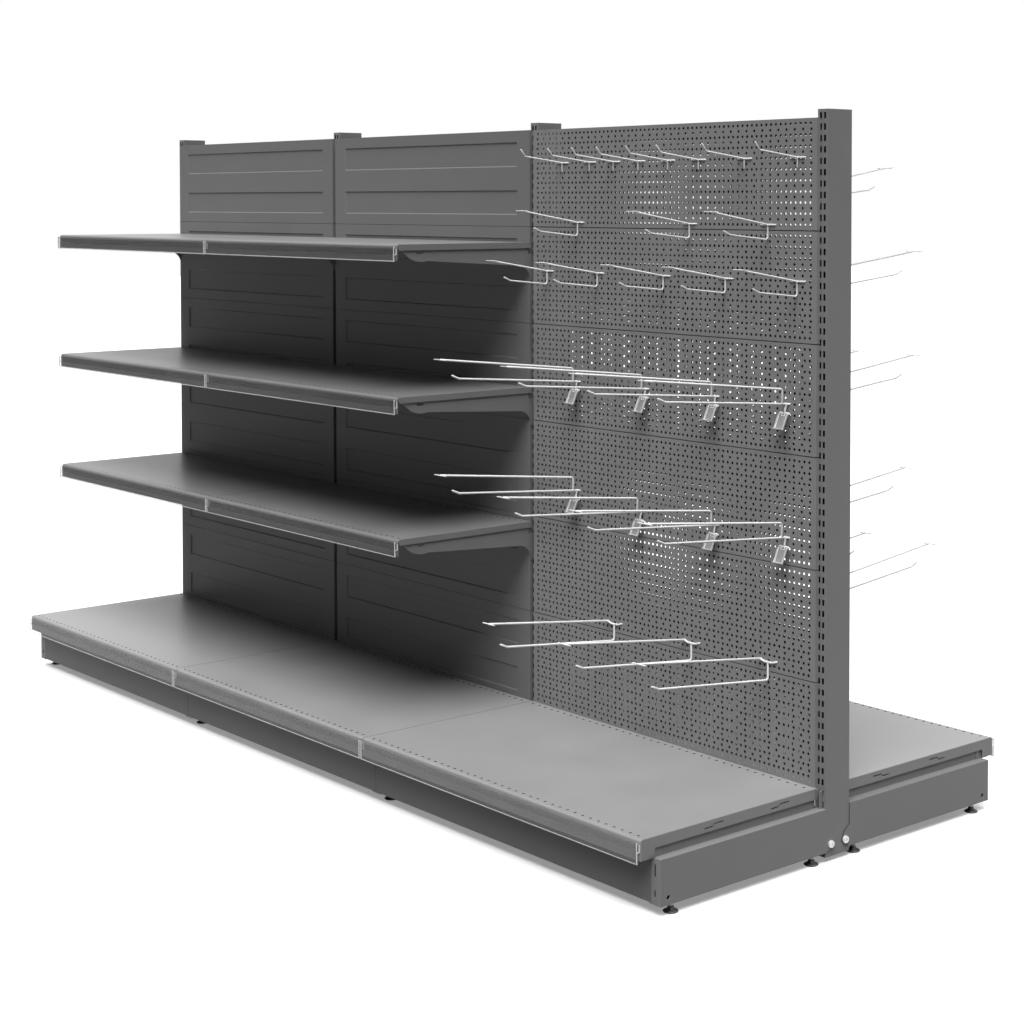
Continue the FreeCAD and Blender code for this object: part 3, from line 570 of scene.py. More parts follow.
def slottedUpright(name, post):
    p = slotted
    low, high = postBoxes[post]
    middle, half, face = postMiddles[post], (high.x - low.x) / 2, high.y
    zs = [low.z] + [p["firstMm"] + (i - 0.5) * p["pitchMm"] for i in range(p["rows"] + 1)] + [high.z]
    at = lambda x, y, z: inMetres(middle + x, y, z)
    bm = bmesh.new()
    rims = []
    for inset in (0, p["wallMm"]):
        wide, deep = half - inset, face - inset
        for x in (-wide, wide):
            addFace(bm, [at(x, -deep, z) for z in zs] + [at(x, deep, z) for z in reversed(zs)])
        for y in (-deep, deep):
            for z0, z1 in (zs[:2], zs[-2:]):
                addFace(bm, [at(-wide, y, z0), at(wide, y, z0), at(wide, y, z1), at(-wide, y, z1)])
        rims.append([(-wide, -deep), (wide, -deep), (wide, deep), (-wide, deep)])
    for z in (low.z, high.z):
        addRim(bm, *[[at(*corner, z) for corner in rim] for rim in rims])
    seeds = [(at(0, -face, p["firstMm"]), 0), (at(0, face, p["firstMm"]), 180)]
    slots = runCells(name, slotCell(2 * half), seeds, "frame_paint", p["rows"], (0, 0, p["pitchMm"] * mm))
    mesh = joinMeshes(name, [toMesh(bm, name + "Tube"), slots])
    wide, deep = half - p["skinMm"], face - p["skinMm"]
    # the tube's inner faces get the near black paint: painted shade seen through the slots
    inside = lambda spot: abs(spot.x - middle) < wide and abs(spot.y) < deep
    shadeFaces = lambda f: inside(f.center / mm) and abs(f.normal.z) < 0.5
    twoFinishes(mesh, finishes["frame_paint"], paintedShade, shadeFaces)
    return mesh


for post in posts:
    name = f"slottedUpright_{post}"
    finishPiece(name, slottedUpright(name, post), "frame", "frame_paint", f"upright_{post}")
print("uprights")


# Decks and shelves: folded sheet with rows of small holes

trayForm = {
    "deck": {"gaugeMm": 1.5, "dropMm": 24, "toeMm": 40},
    "shelf": {"gaugeMm": 1, "dropMm": 15, "toeMm": 0},
    "noseMm": 6,
    "noseSteps": 6,
    "smoothDeg": 40,
    "holeMm": 7,
    "holePitchMm": 25,
    "holeInsetMm": 16,
    "stripMm": 10,
    "slitMm": 2.6,
    "slitLineMm": ((0, -9), (28, -9), (32, -14), (56, -14)),
    "slitShares": (0.17, 0.55),  # where the slits start between the back and the nose
}


def slitLoop(start):  # an S-shaped slit in a side flange, from its start outwards
    line = [(start + run, z) for run, z in trayForm["slitLineMm"]]
    return line + [(run, z - trayForm["slitMm"]) for run, z in reversed(line)]


def trayMesh(name, kind, paint, x0, x1, back, nose, top, front, sign):  # out from the middle, heights in mm
    p, form = trayForm, trayForm[kind]
    g, toe, radius, pitch = form["gaugeMm"], form["toeMm"], p["noseMm"], p["holePitchMm"]
    low = top - form["dropMm"]
    at = lambda x, out, z: inMetres(x, sign * out, z)
    count = int((x1 - x0) / pitch)
    middle = (x0 + x1) / 2
    cells = [middle + x for x in edgeXs((x1 - x0) / 2, pitch, count)]
    rows = (back + p["holeInsetMm"], nose - p["holeInsetMm"])
    stripEdges = [row + way * p["stripMm"] / 2 for row in rows for way in (-1, 1)]
    bm = bmesh.new()
    skins = []
    for inset in (0, g):  # outer and inner side of the sheet
        path = [(back + inset, low), (back + inset, top - inset)]
        path += [(out, top - inset) for out in stripEdges]
        path += arc((nose - radius, top - radius), radius - inset, 90, 0, p["noseSteps"])
        path.append((nose - inset, front))
        skins.append(path)
        for i, (here, there) in enumerate(zip(path, path[1:])):
            if i in (2, 4):  # the hole rows' own stretch is left for their cells
                for a, b in (cells[:2], cells[-2:]):
                    addFace(bm, [at(a, *here), at(b, *here), at(b, *there), at(a, *there)])
                continue
            hereXs = cells if i in (3, 5) else [x0, x1]
            thereXs = cells if i in (1, 3) else [x0, x1]
            addFace(bm, [at(x, *here) for x in hereXs] + [at(x, *there) for x in reversed(thereXs)])
    outer, inner = skins
    for a, b in ((outer[0], inner[0]), (outer[-1], inner[-1])):
        addFace(bm, [at(x0, *a), at(x1, *a), at(x1, *b), at(x0, *b)])
    for x in (x0, x1):
        addFace(bm, [at(x, *corner) for corner in outer + inner[::-1]])
    sheet = toMesh(bm, name + "Sheet", p["smoothDeg"])
    cell = holeCell(name + "Hole", pitch, p["stripMm"], p["holeMm"], g)
    cell.transform(Matrix.Rotation(math.radians(-90), 4, "X"))  # the cell faces up
    seeds = [(at(middle - pitch * (count - 1) / 2, row, top), 0) for row in rows]
    holes = runCells(name, cell, seeds, "shelf_paint", count, (pitch * mm, 0, 0))
    shell = joinMeshes(name + "Shell", [sheet, holes], p["smoothDeg"])
    wallArea = p["holeMm"] * g * mm * mm  # more than one wall of a hole has
    # the hole walls get the near black paint: painted shade in the holes
    twoFinishes(shell, paint, paintedShade, lambda f: f.area < wallArea)
    flange = [(back + g, low - top), (nose - max(toe, g + radius), low - top)]
    if toe:
        flange += [(nose - toe, front - top), (nose - g, front - top)]
    flange += [(nose - g, -radius)] + arc((nose - radius, -radius), radius - g, 0, 90, 4)[1:]
    flange.append((back + g, -g))
    slits = [slitLoop(back + share * (nose - back)) for share in p["slitShares"]] if toe else []
    bm = bmesh.new()
    bm.from_mesh(shell)
    for x in (x0 + g / 2, x1 - g / 2):
        plate = standPlate(plateMesh(name + "Flange", flange, slits, g), sign, x, top)
        for face in plate.polygons:  # a deck's top and nose get the lighter deck paint, its side flanges the shelf paint: painted light on the top
            face.material_index = 2 if toe else 0
        bm.from_mesh(plate)
    bmesh.ops.recalc_face_normals(bm, faces=bm.faces)
    mesh = takeMesh(bm, name)
    for finish in (paint, paintedShade, finishes["shelf_paint"]):
        mesh.materials.append(finish)
    return mesh


bayEdges = {}
for side, sign in sides.items():
    for bay in (1, 2, 3):
        name, node = f"baseDeck_{side}_{bay}", f"base_deck_{side}_{bay}"
        x0, x1, back, nose, low, top = spanMm(node)
        bayEdges[bay] = (x0, x1)
        mesh = trayMesh(name, "deck", deckLitPaint, x0, x1, back, nose, top, low, sign)
        finishPiece(name, mesh, "frame", "shelf_paint", node)
print("decks")

shelfForm = {"topsMm": (635, 985, 1360), "frontMm": 40}
shelfPaint = finishes["shelf_paint"]
for side, sign in sides.items():
    for bay in (1, 2):
        node = f"shelves_{side}_{bay}"
        ends = spanMm(node)[:4]
        bm = bmesh.new()
        for i, top in enumerate(shelfForm["topsMm"]):
            front = top - shelfForm["frontMm"]
            bm.from_mesh(trayMesh(f"shelf_{side}_{bay}_{i}", "shelf", shelfPaint, *ends, top, front, sign))
        mesh = takeMesh(bm, node)
        mesh.materials.append(shelfPaint)
        mesh.materials.append(paintedShade)
        finishPiece(f"sheetShelves_{side}_{bay}", mesh, "frame", "shelf_paint", node)
print("shelves")


# Clear price rails

railForm = {
    "wallMm": 1.5,
    "reachMm": 9,
    "lipMm": 5,
    "gripTopMm": 10,
    "gripMm": 16,
    "gapMm": 0.1,
    "filletMm": (1, 0.6),  # at the face and at the grip plate
    "insetMm": 2,
    "beadMm": 1.3,
    "edgeMm": 2,
    "deckHeightMm": 50,
    "shelfHeightMm": 42,
}


def railSection(height):  # out from the tray's nose, down from its top: a grip plate, a web and a face
    p = railForm
    wall, reach, bead, gap = p["wallMm"], p["reachMm"], p["beadMm"], p["gapMm"]
    outerFillet, innerFillet = p["filletMm"]
    top = -p["gripTopMm"]
    web = top - p["gripMm"]
    ledge, face = web + wall, reach - wall
    foot = arc((reach - bead, bead - height), bead, 180, 360, 6)  # the bead along the lower edge
    roll = arc((reach - bead, -p["lipMm"] - bead), bead, 0, 200, 7)  # the roll along the upper edge
    section = [(gap, web), (face - outerFillet, web), (face, web - outerFillet)] + foot
    section += [(reach, 2 * bead - height)] + roll + [(face, -p["lipMm"] - 3 * bead)]
    section += [(face, ledge + outerFillet), (face - outerFillet, ledge)]
    return section + [(wall + innerFillet, ledge), (wall, ledge + innerFillet), (wall, top), (gap, top)]


def railMesh(name, clear, runs):  # runs are (x0, x1, nose, top, height, sign)
    bm = bmesh.new()
    edge = railForm["edgeMm"]
    for x0, x1, nose, top, height, sign in runs:
        spot = lambda x, out, z: inMetres(x, sign * (nose + out), top + z)
        for face in addPrism(bm, railSection(height), spot, x0, x0 + edge, x1 - edge, x1):
            centre = face.calc_center_median() / mm
            atEnd = min(centre.x - x0, x1 - centre.x) < edge
            atFoot = centre.z < top - height + 2 * railForm["beadMm"]
            # the ends and the bead get the near white: painted highlight
            face.material_index = 1 if atEnd or atFoot else 0
    mesh = toMesh(bm, name, 50)
    mesh.materials.append(clear)
    mesh.materials.append(railHighlight)
    return mesh


railEnds = {bay: (a + railForm["insetMm"], b - railForm["insetMm"]) for bay, (a, b) in bayEdges.items()}
for side, sign in sides.items():
    nose, low, top = spanMm(f"base_deck_{side}_3")[3:]
    runs = [(*ends, nose, top, railForm["deckHeightMm"], sign) for ends in railEnds.values()]
    name = f"deckRails_{side}"
    finishPiece(name, railMesh(name, deckRailLit, runs), "frame", "clear_rail", f"deck_price_rails_{side}")
    nose, height = spanMm(f"shelves_{side}_1")[3], railForm["shelfHeightMm"]
    runs = [(*railEnds[bay], nose, top, height, sign) for bay in (1, 2) for top in shelfForm["topsMm"]]
    name = f"shelfRails_{side}"
    mesh = railMesh(name, finishes["clear_rail"], runs)
    finishPiece(name, mesh, "frame", "clear_rail", f"shelf_price_rails_{side}")
print("price rails")


# Shelf brackets

bracketForm = {
    "gaugeMm": 2,
    "clearMm": 1,
    "slotSpreadMm": 11,
    "notchMm": (16, 7),
    "notchAtMm": (400, -21),
    "faceMm": 39,
    "toeMm": 9,
    "heelMm": 100,
    "backMm": 60,
    "seatMm": (56, -30),
    "topMm": -1.2,
    "endMm": 453,
    "noseMm": 14,
    "noseRunMm": 75,
    "frontMm": 42,
    "noseCurveMm": 70,
}


def bracketOutline():  # out from the middle of the row, down from the shelf's top
    p = bracketForm
    throat = p["heelMm"] - p["backMm"]
    end, top, (seat, seatLow) = p["endMm"], p["topMm"], p["seatMm"]
    here, there = Vector((end, -p["noseMm"])), Vector((end - p["noseRunMm"], -p["frontMm"]))
    half = (there - here) / 2
    rise = math.sqrt(p["noseCurveMm"] ** 2 - half.length ** 2)
    centre = here + half + Vector((half.y, -half.x)).normalized() * rise
    angles = [math.degrees(math.atan2(spot.y - centre.y, spot.x - centre.x)) for spot in (here, there)]
    hollow = (p["faceMm"] + p["toeMm"] + throat, -p["heelMm"])
    line = [(p["faceMm"], seatLow), (seat, seatLow), (seat, top), (end, top)]
    line += arc(centre, p["noseCurveMm"], *angles, 8) + arc(hollow, throat, 90, 180, 10)
    return line + [(p["faceMm"], -p["heelMm"])]


def bracketMesh(name, sign):
    p = bracketForm
    (wide, tall), (out, z) = p["notchMm"], p["notchAtMm"]
    notch = arc((out + wide / 2, z), tall / 2, -90, 90, 4) + arc((out - wide / 2, z), tall / 2, 90, 270, 4)
    plate = plateMesh(name + "Plate", bracketOutline(), [notch], p["gaugeMm"])
    inset = p["slotSpreadMm"] / 2 - p["clearMm"]
    bm = bmesh.new()
    for bay in (1, 2):
        for top in shelfForm["topsMm"]:
            for x in (bayEdges[bay][0] + inset, bayEdges[bay][1] - inset):
                bm.from_mesh(standPlate(plate.copy(), sign, x, top))
    return toMesh(bm, name)


for side, sign in sides.items():
    name = f"hookedBrackets_{side}"
    finishPiece(name, bracketMesh(name, sign), "frame", "shelf_paint", f"shelf_brackets_{side}")
print("brackets")


# Wire hooks

wireForm = {
    "sides": 8,
    "bendMm": 7,
    "bendSteps": 4,
    "bendShare": 0.48,  # the most of a straight stretch that a bend takes
    "dome": (0.45, 0.3),  # an end's bulge and flat, as shares of the gauge
    "barMm": (42, 6, 2),
    "panelFaceMm": 49,
    "pinMm": 14,
    "pinBendMm": 4,
    "dipShare": 0.45,
}


def bentPath(points, bend):  # rounds a wire's corners
    points = [Vector(point) for point in points]
    path = [points[0]]
    for before, here, after in zip(points, points[1:], points[2:]):
        toBack, toNext = (before - here).normalized(), (after - here).normalized()
        half = toBack.angle(toNext) / 2
        longest = wireForm["bendShare"] * min((before - here).length, (after - here).length)
        reach = min(bend / math.tan(half), longest)
        radius = reach * math.tan(half)
        centre = here + (toBack + toNext).normalized() * (radius / math.sin(half))
        start, end = here + toBack * reach - centre, here + toNext * reach - centre
        axis = start.cross(end).normalized()
        sweep = start.angle(end)
        for i in range(wireForm["bendSteps"] + 1):
            path.append(centre + Matrix.Rotation(sweep * i / wireForm["bendSteps"], 3, axis) @ start)
    return path + [points[-1]]


def addWire(bm, points, gauge, bend=wireForm["bendMm"]):  # a round wire along a bent path, with domed ends
    path = bentPath(points, bend)
    n, last = wireForm["sides"], len(path) - 1
    bulge, flat = wireForm["dome"]
    tangents = [(path[min(i + 1, last)] - path[max(i - 1, 0)]).normalized() for i in range(last + 1)]
    normal = tangents[0].orthogonal().normalized()
    rings = []
    for i, (spot, along) in enumerate(zip(path, tangents)):
        normal = (normal - along * normal.dot(along)).normalized()
        other = along.cross(normal)
        for shift, share in [(-bulge, flat)] * (i == 0) + [(0, 0.5)] + [(bulge, flat)] * (i == last):
            ring = []
            for k in range(n):
                turn = 2 * math.pi * k / n
                offset = (normal * math.cos(turn) + other * math.sin(turn)) * share
                ring.append(bm.verts.new((spot + (along * shift + offset) * gauge) * mm))
            rings.append(ring)
    for a, b in zip(rings, rings[1:]):
        for k in range(n):
            bm.faces.new([a[k], a[(k + 1) % n], b[(k + 1) % n], b[k]])
    bm.faces.new(rings[0])
    bm.faces.new(rings[-1])


def addBar(bm, centre, tilt):  # the flat cross bar on an arm's end
    length, wide, thick = wireForm["barMm"]
    low = -thick / 2
    section = [(-wide / 2, -thick / 3), (-wide / 3, low), (wide / 3, low), (wide / 2, -thick / 3)]
    section += [(-y, -z) for y, z in section]
    lean = Matrix.Rotation(-math.radians(tilt), 3, "X")
    spot = lambda x, y, z: (Vector(centre) + lean @ Vector((x, y, z))) * mm
    addPrism(bm, section, spot, -length / 2, length / 2)


def addPins(bm, span, gauge, dip):  # the root bar with its ends turned back through the panel
    out = -wireForm["panelFaceMm"] - gauge / 2
    inner = out + wireForm["pinMm"]
    half = span / 2
    points = [(-half, inner, 0), (-half, out, 0)]
    if dip:
        points += [(way * half * wireForm["dipShare"], out, -dip) for way in (-1, 1)]
    addWire(bm, points + [(half, out, 0), (half, inner, 0)], gauge, wireForm["pinBendMm"])


hookForm = {  # lengths in mm, angles in degrees; an arm, a prong and a tip are (length, angle)
    "peg": {"wire": 4, "span": 45, "leg": 21, "arm": (122, 7), "tip": (21, 50), "bend": 5},
    "short": {"wire": 4, "span": 45, "leg": 34, "arm": (180, 9.4), "prong": (122, 6), "tip": (21, 23)},
    "long": {
        "wire": 5,
        "span": 50,
        "dip": 4,
        "leg": 45,
        "armIn": 2,
        "arm": (375, 7),
        "prong": (340, 6),
        "tip": (21, 23),
    },
    "tagged": {
        "wire": 5,
        "span": 15,
        "leg": 34,
        "stand": 13,
        "gap": 1.5,
        "bend": 3,
        "drop": 21,
        "pivot": 9,
        "pin": (4, 29),
        "arm": (430, 6),
        "prong": (375, 4.5),
        "tip": (21, 23),
    },
}


def hookMesh(kind):  # one hook at the origin of its root, reaching out along -Y
    p = hookForm[kind]
    face, gauge, legLow = wireForm["panelFaceMm"], p["wire"], -p["leg"]
    out = face + gauge / 2 + p.get("gap", 0)
    bm = bmesh.new()
    tan = lambda angle: math.tan(math.radians(angle))

    def rising(root, up, run, aside=0):  # the end of a wire that rises from its root
        length, tilt = run
        return (aside, -(face + length), up + (face + length - root) * tan(tilt))

    def tipFrom(end):
        length, angle = p["tip"]
        turn = math.radians(angle)
        return (0, end[1] - length * math.cos(turn), end[2] + length * math.sin(turn))

    if kind == "peg":
        end = rising(out, 0, p["arm"])
        addWire(bm, [(0, -out, legLow), (0, -out, 0), end, tipFrom(end)], gauge, p["bend"])
    elif kind == "short":
        arm, end = rising(out, 0, p["arm"]), rising(out, legLow, p["prong"])
        addWire(bm, [arm, (0, -out, 0), (0, -out, legLow), end, tipFrom(end)], gauge)
    elif kind == "long":
        aside = -p["span"] / 2
        arm, end = rising(out, 0, p["arm"], aside), rising(out, legLow, p["prong"])
        addWire(bm, [(0, -out, -p["dip"]), (0, -out, legLow), end, tipFrom(end)], gauge)
        addWire(bm, [(aside, p["armIn"] - out, 0), arm], gauge)
    else:
        leg, pivot = out + p["stand"], face + p["pivot"]
        arm, end = rising(leg, p["leg"], p["arm"]), rising(out, 0, p["prong"])
        addWire(bm, [arm, (0, -leg, p["leg"]), (0, -leg, p["stand"] * tan(p["prong"][1]))], gauge)
        addWire(bm, [(0, -pivot, -p["drop"]), (0, -out, 0), end, tipFrom(end)], gauge, p["bend"])
        pin, length = p["pin"]
        addWire(bm, [(way * length / 2, -pivot, -p["drop"]) for way in (-1, 1)], pin)
    if kind != "peg":
        addBar(bm, arm, p["arm"][1])
    addPins(bm, p["span"], gauge, p.get("dip", 0))
    return toMesh(bm, kind + "Hook", 60)


hookGrid = {"topMm": 1650, "rowMm": 25, "closeMm": 15, "wideMm": 25}
hookSpots = {  # hole columns from the bay's middle and rows down from the top, on each side
    "peg": {"front": [(column, 3) for column in (-25, -18, -12, -6, 1, 8, 18, 29)]},
    "short": {
        "front": [(-21, 9), (6, 9), (23, 9)] + [(column, 14) for column in (-29, -16, 0, 14, 29)],
        "rear": [(30, 5)],
    },
    "tagged": {"front": [(c, 25) for c in (-21, -4, 12, 27)] + [(-21, 36), (-5, 37), (12, 37), (27, 37)]},
    "long": {
        "front": [(-7, 48.5), (4, 48.5), (14, 48.5)],
        "rear": [(14, 13.5), (14, 23.5), (7, 23.5), (13, 34.5), (16, 41.5), (8, 41.5)],
    },
}
hookNodes = {"peg": "peg_hooks", "short": "short_hooks", "tagged": "tag_hooks", "long": "long_hooks"}
hookMiddle = sum(bayEdges[3]) / 2
for kind, places in hookSpots.items():
    pitch = hookGrid["wideMm" if kind == "long" else "closeMm"]
    seeds = []
    for side, spots in places.items():
        for column, row in spots:
            spot = (hookMiddle + column * pitch, 0, hookGrid["topMm"] - (row + 0.5) * hookGrid["rowMm"])
            seeds.append((Vector(spot) * mm, 0 if side == "front" else 180))
    made = runCells(kind + "Hooks", hookMesh(kind), seeds, "hook_wire")
    made.name = hookNodes[kind] + "Wire"
    twoFinishes(made, frontLitWire, finishes["hook_wire"], lambda f: f.center.y > 0)  # one wire in two finishes, matt pale at the front and zinc at the rear: painted light in front of the panel, painted shade behind it
    finishPiece(hookNodes[kind] + "Wire", made, "frame", "hook_wire", hookNodes[kind])
print("hooks")


# Levelling feet and bolts

footForm = {
    "rimMm": 3.5,
    "rimEdgesMm": (1.5, 1),  # the chamfers under and over the rim
    "flare": ((0.62, 1.2), (0.36, 2.6), (0.16, 4.6), (0.05, 6.6)),  # a hollow slope from rim to neck
    "coneMm": 13,
    "neckMm": 6.5,
    "neckEdgeMm": (0.8, 1),
    "studMm": 5,
    "studEdgeMm": (0.8, 1),
    "threadMm": 1.5,
    "threadCutMm": (0.6, 0.1),
    "segments": 24,
}


def footMesh(node):
    p = footForm
    low, high = boxMm(node)
    cx, cy = (low.x + high.x) / 2, (low.y + high.y) / 2
    radius, rim, neck, cone, stud = (high.x - low.x) / 2, p["rimMm"], p["neckMm"], p["coneMm"], p["studMm"]
    under, over = p["rimEdgesMm"]
    profile = [(0, 0), (radius - under, 0), (radius, under), (radius, rim - over), (radius - over, rim)]
    profile += [(neck + share * (radius - neck), rim + rise) for share, rise in p["flare"]]
    profile += [(neck, cone - p["neckEdgeMm"][1]), (neck - p["neckEdgeMm"][0], cone)]
    cut, gap = p["threadCutMm"]
    z = cone
    while z + p["threadMm"] < high.z - p["studEdgeMm"][1]:
        profile += [(stud - cut, z + gap), (stud, z + p["threadMm"] / 2)]
        z += p["threadMm"]
    profile += [(stud - p["studEdgeMm"][0], high.z), (0, high.z)]
    bm = bmesh.new()
    revolve(bm, profile, p["segments"], lambda x, y, height: inMetres(cx + x, cy + y, low.z + height))
    mesh = toMesh(bm, node + "Round", 40)
    onStud = lambda f: f.center.z / mm > low.z + cone
    twoFinishes(mesh, finishes["foot_black"], finishes["bolt_zinc"], onStud)
    return mesh


for node in sorted(frame["nodes"]):
    if node.startswith("foot_"):
        finishPiece(node + "Round", footMesh(node), node, "foot_black", node)
print("feet")

boltForm = {
    "headMm": 17,
    "headEdgeMm": 0.9,
    "shoulderMm": 2.4,
    "solidHeadMm": 14,
    "riseMm": 5,
    "crossMm": (10, 2.4),
    "crossDepthMm": 1.6,
    "shankMm": 8,
    "gripMm": 34,
    "segments": 24,
}


def boltMesh():  # along X, its head towards +X, at the middle of its shank
    p = boltForm
    long, slim = (size / 2 for size in p["crossMm"])
    cross = []
    for turn in range(4):
        a = math.radians(90 * turn)
        for x, y in ((slim, slim), (slim, long), (-slim, long)):
            cross.append((x * math.cos(a) - y * math.sin(a), x * math.sin(a) + y * math.cos(a)))
    n, depth = p["segments"], p["crossDepthMm"]
    shank, head, start = p["shankMm"] / 2, p["headMm"] / 2, p["gripMm"] / 2
    flat, end = head - p["headEdgeMm"], start + p["riseMm"]
    top = plateMesh("boltTop", arc((0, 0), flat, 0, 360 - 360 / n, n - 1), [cross], depth)
    profile = [(0, -start), (shank, -start), (shank, start), (head, start), (head, end - p["shoulderMm"])]
    profile += [(flat, end - depth), (0, end - depth)]
    bm = bmesh.new()
    revolve(bm, profile, n, lambda x, y, z: inMetres(z, x, y))
    bm.from_mesh(standPlate(top, 1, end - depth / 2, 0))
    return toMesh(bm, "boltRound", 40)


boltLow, boltHigh = boxMm("leg_bolts")
boltOut = boltHigh.y - boltForm["solidHeadMm"] / 2 * math.cos(math.radians(22.5))  # the solid's octagon
boltUp = (boltLow.z + boltHigh.z) / 2
boltSeeds = []
for post in posts:
    for sign in sides.values():
        spot = inMetres(postMiddles[post], sign * boltOut, boltUp)
        boltSeeds.append((spot, 0 if post > 2 else 180))
made = runCells("legBolts", boltMesh(), boltSeeds, "bolt_zinc")
finishPiece("legBoltsRound", made, "frame", "bolt_zinc", "leg_bolts")
print("bolts")


# Legs and plinths: the solids with their folds rounded, and a hole in each leg's side

softForm = {
    "foldMm": 1.2,
    "foldSegments": 2,
    "foldDeg": 40,
    "holeMm": 9,
    "holeInMm": 22,
    "holeUpMm": 16,
    "drillMm": 30,
    "restMm": (5, 9),
    "restRunMm": (518, 562),
    "restLowMm": 119.5,
    "earMm": (0.1, 0.6),  # how far past the tube's sides and front a face belongs to an ear
}


def softFolds(name, node, holes=(), rests=()):  # rests are blocks (low corner, high corner) in mm
    p = softForm
    piece = addObject(name + "Solid", takeMesh(solidFaces(node), name))
    drill = None
    if holes:
        bm = bmesh.new()
        for x, y, z in holes:
            ring = arc((y, z), p["holeMm"] / 2, 0, 330, 11)
            addPrism(bm, ring, inMetres, x - p["drillMm"], x + p["drillMm"])
        drill = addObject(name + "Drill", toMesh(bm, name + "Drill"))
        cut = piece.modifiers.new("holes", "BOOLEAN")
        cut.object = drill
        cut.solver = "EXACT"
    fold = piece.modifiers.new("folds", "BEVEL")
    fold.width = p["foldMm"] * mm
    fold.segments = p["foldSegments"]
    fold.limit_method = "ANGLE"
    fold.angle_limit = math.radians(p["foldDeg"])
    fold.use_clamp_overlap = True
    made = evaluatedMesh(piece)
    bpy.data.objects.remove(piece)
    if drill:
        bpy.data.objects.remove(drill)
    bm = bmesh.new()
    bm.from_mesh(made)
    for (x0, y0, z0), (x1, y1, z1) in rests:
        addPrism(bm, [(y0, z0), (y1, z0), (y1, z1), (y0, z1)], inMetres, x0, x1)
    bmesh.ops.recalc_face_normals(bm, faces=bm.faces)
    bm.to_mesh(made)
    bm.free()
    made.materials.clear()
    return made


def overTube(face):  # whether a leg's face lies on an upright's side, as an ear does
    low, high = postBoxes[1]
    past, before = softForm["earMm"]
    aside = min(abs(face.center.x / mm - middle) for middle in postMiddles.values())
    return aside > (high.x - low.x) / 2 + past and abs(face.center.y) / mm < high.y + before


for side, sign in sides.items():
    low, high = boxMm(f"base_legs_{side}")
    end = max(abs(low.y), abs(high.y))
    deckTop = boxMm(f"base_deck_{side}_3")[1].z - trayForm["deck"]["gaugeMm"]
    ys = sorted(sign * out for out in softForm["restRunMm"])
    holes, rests = [], []
    for post, middle in postMiddles.items():
        holes.append((middle, sign * (end - softForm["holeInMm"]), low.z + softForm["holeUpMm"]))
        for aside in [-1] * (post > 1) + [1] * (post < 4):
            xs = sorted(middle + aside * x for x in softForm["restMm"])
            rests.append(((xs[0], ys[0], softForm["restLowMm"]), (xs[1], ys[1], deckTop)))
    mesh = softFolds(f"foldedLegs_{side}", f"base_legs_{side}", holes, rests)
    # the ears' edge faces get the near black paint: painted shade where an ear meets the tube
    earShadeEdge = lambda f: overTube(f) and abs(f.normal.x) < 0.9
    twoFinishes(mesh, finishes["frame_paint"], paintedShade, earShadeEdge)
    finishPiece(f"foldedLegs_{side}", mesh, "frame", "frame_paint", f"base_legs_{side}")
    mesh = softFolds(f"foldedPlinths_{side}", f"plinths_{side}")
    # the darker plinth paint: painted shade
    mesh.materials.append(plinthShadePaint)
    finishPiece(f"foldedPlinths_{side}", mesh, "frame", "frame_paint", f"plinths_{side}")
print("legs and plinths")


# Tag plates: the solids' own shape, with a dull window inside pale edges

tagForm = {"borderMm": 2.6, "windowMm2": 400}


def tagMesh(node):
    bm = solidFaces(node)
    windows = [face for face in bm.faces if face.calc_area() > tagForm["windowMm2"] * mm * mm]
    bmesh.ops.inset_individual(bm, faces=windows, thickness=tagForm["borderMm"] * mm)
    for face in windows:
        face.material_index = 1
    mesh = takeMesh(bm, node + "Edged")
    mesh.materials.append(finishes["tag_plastic"])
    mesh.materials.append(tagWindow)
    return mesh


for node in sorted(frame["nodes"]):
    if node.startswith("tag_plate_"):
        finishPiece(node + "Edged", tagMesh(node), node, "tag_plastic", node)
print("tag plates")


# Floor, light and camera

studio = {
    "floor": "#f2f2f2",
    "floorBounce": "#585858",
    "floorGlow": 0.28,
    "floorReach": 30,  # metres each way
    "ambient": 0.04,
    "lamps": {  # the way to the light, its spread in degrees, its strength, whether it mirrors
        "overheadSoftbox": ((0.29, -0.34, 1.0), 50, 5.2, True),
        "rearFill": ((-0.6, 0.75, 0.3), 70, 1.5, False),
    },
}


def seenDirectly(tree):  # 1 for camera, glossy and transmission rays, otherwise 0
    path = addNode(tree, "ShaderNodeLightPath").outputs
    seen = path["Is Camera Ray"]
    for ray in ("Is Glossy Ray", "Is Transmission Ray"):
        seen = addNode(tree, "ShaderNodeMath", {0: seen, 1: path[ray]}, operation="MAXIMUM").outputs[0]
    return seen


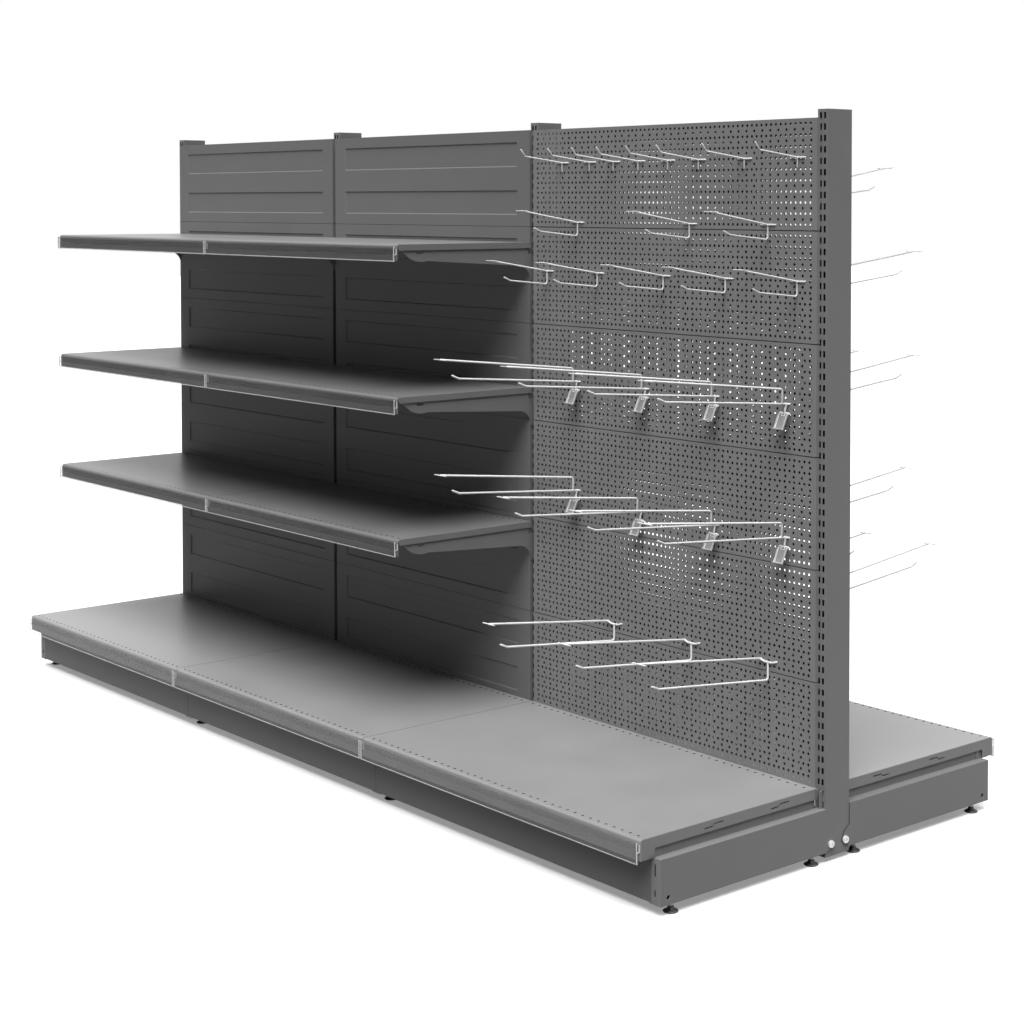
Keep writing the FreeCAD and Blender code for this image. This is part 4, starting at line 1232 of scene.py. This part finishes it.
def buildStage():
    mesh = bpy.data.meshes.new("studioFloor")
    reach = studio["floorReach"]
    corners = [(x * reach, y * reach, 0) for x, y in ((-1, -1), (1, -1), (1, 1), (-1, 1))]
    mesh.from_pydata(corners, [], [(0, 1, 2, 3)])
    floor = addObject("studioFloor", mesh)
    material, tree = newMaterial("paintedStudioFloor")  # matt white floor, dimmer to bounced light
    seen = seenDirectly(tree)
    tones = {0: seen, 6: toLinear(studio["floorBounce"]), 7: toLinear(studio["floor"])}
    tone = addNode(tree, "ShaderNodeMix", tones, data_type="RGBA")
    matt = addNode(tree, "ShaderNodeBsdfDiffuse", {"Color": tone.outputs[2]})
    glow = addNode(tree, "ShaderNodeMath", {0: seen, 1: studio["floorGlow"]}, operation="MULTIPLY")
    lift = addNode(tree, "ShaderNodeEmission", {"Strength": glow.outputs[0]})  # keeps its shadow pale
    both = addNode(tree, "ShaderNodeAddShader", {0: matt.outputs[0], 1: lift.outputs[0]})
    addNode(tree, "ShaderNodeOutputMaterial", {"Surface": both.outputs[0]})
    mesh.materials.append(material)
    world = bpy.data.worlds.new("whiteStudio")
    bpy.context.scene.world = world
    world.use_nodes = True
    tree = world.node_tree
    tree.nodes.clear()
    level = addNode(tree, "ShaderNodeMapRange", {"Value": seenDirectly(tree), 3: studio["ambient"], 4: 1.0})
    sky = addNode(tree, "ShaderNodeBackground", {"Color": (1, 1, 1, 1), "Strength": level.outputs[0]})
    addNode(tree, "ShaderNodeOutputWorld", {"Surface": sky.outputs[0]})
    for name, (towards, spread, strength, mirrors) in studio["lamps"].items():
        lamp = bpy.data.lights.new(name, "SUN")  # evenly lit floor, wide soft shadows
        lamp.angle = math.radians(spread)
        lamp.energy = strength
        holder = addObject(name, lamp)
        holder.rotation_euler = Vector(towards).to_track_quat("Z", "Y").to_euler()
        holder.visible_glossy = mirrors
    bpy.context.scene.view_settings.view_transform = "Standard"


cameraView = {
    "place": (4.28405, -3.19217, 1.46295),
    "headingDeg": 48.8152,
    "downDeg": 1.8981,
    "focalPx": 1926.911,
    "centrePx": (600.83, 266.204),
    "imagePx": 1024,
    "sensorMm": 36,
    "clipEnd": 200,
}


def placeCamera():
    p = cameraView
    image, (cx, cy) = p["imagePx"], p["centrePx"]
    lens = bpy.data.cameras.new("photoCamera")
    lens.sensor_width = p["sensorMm"]
    lens.lens = p["focalPx"] / image * lens.sensor_width
    lens.shift_x = (image / 2 - cx) / image
    lens.shift_y = (cy - image / 2) / image
    lens.clip_end = p["clipEnd"]
    camera = addObject("photoCamera", lens)
    camera.location = p["place"]
    camera.rotation_euler = (math.radians(90 - p["downDeg"]), 0, math.radians(p["headingDeg"]))
    bpy.context.scene.camera = camera


buildStage()
placeCamera()
print("stage")
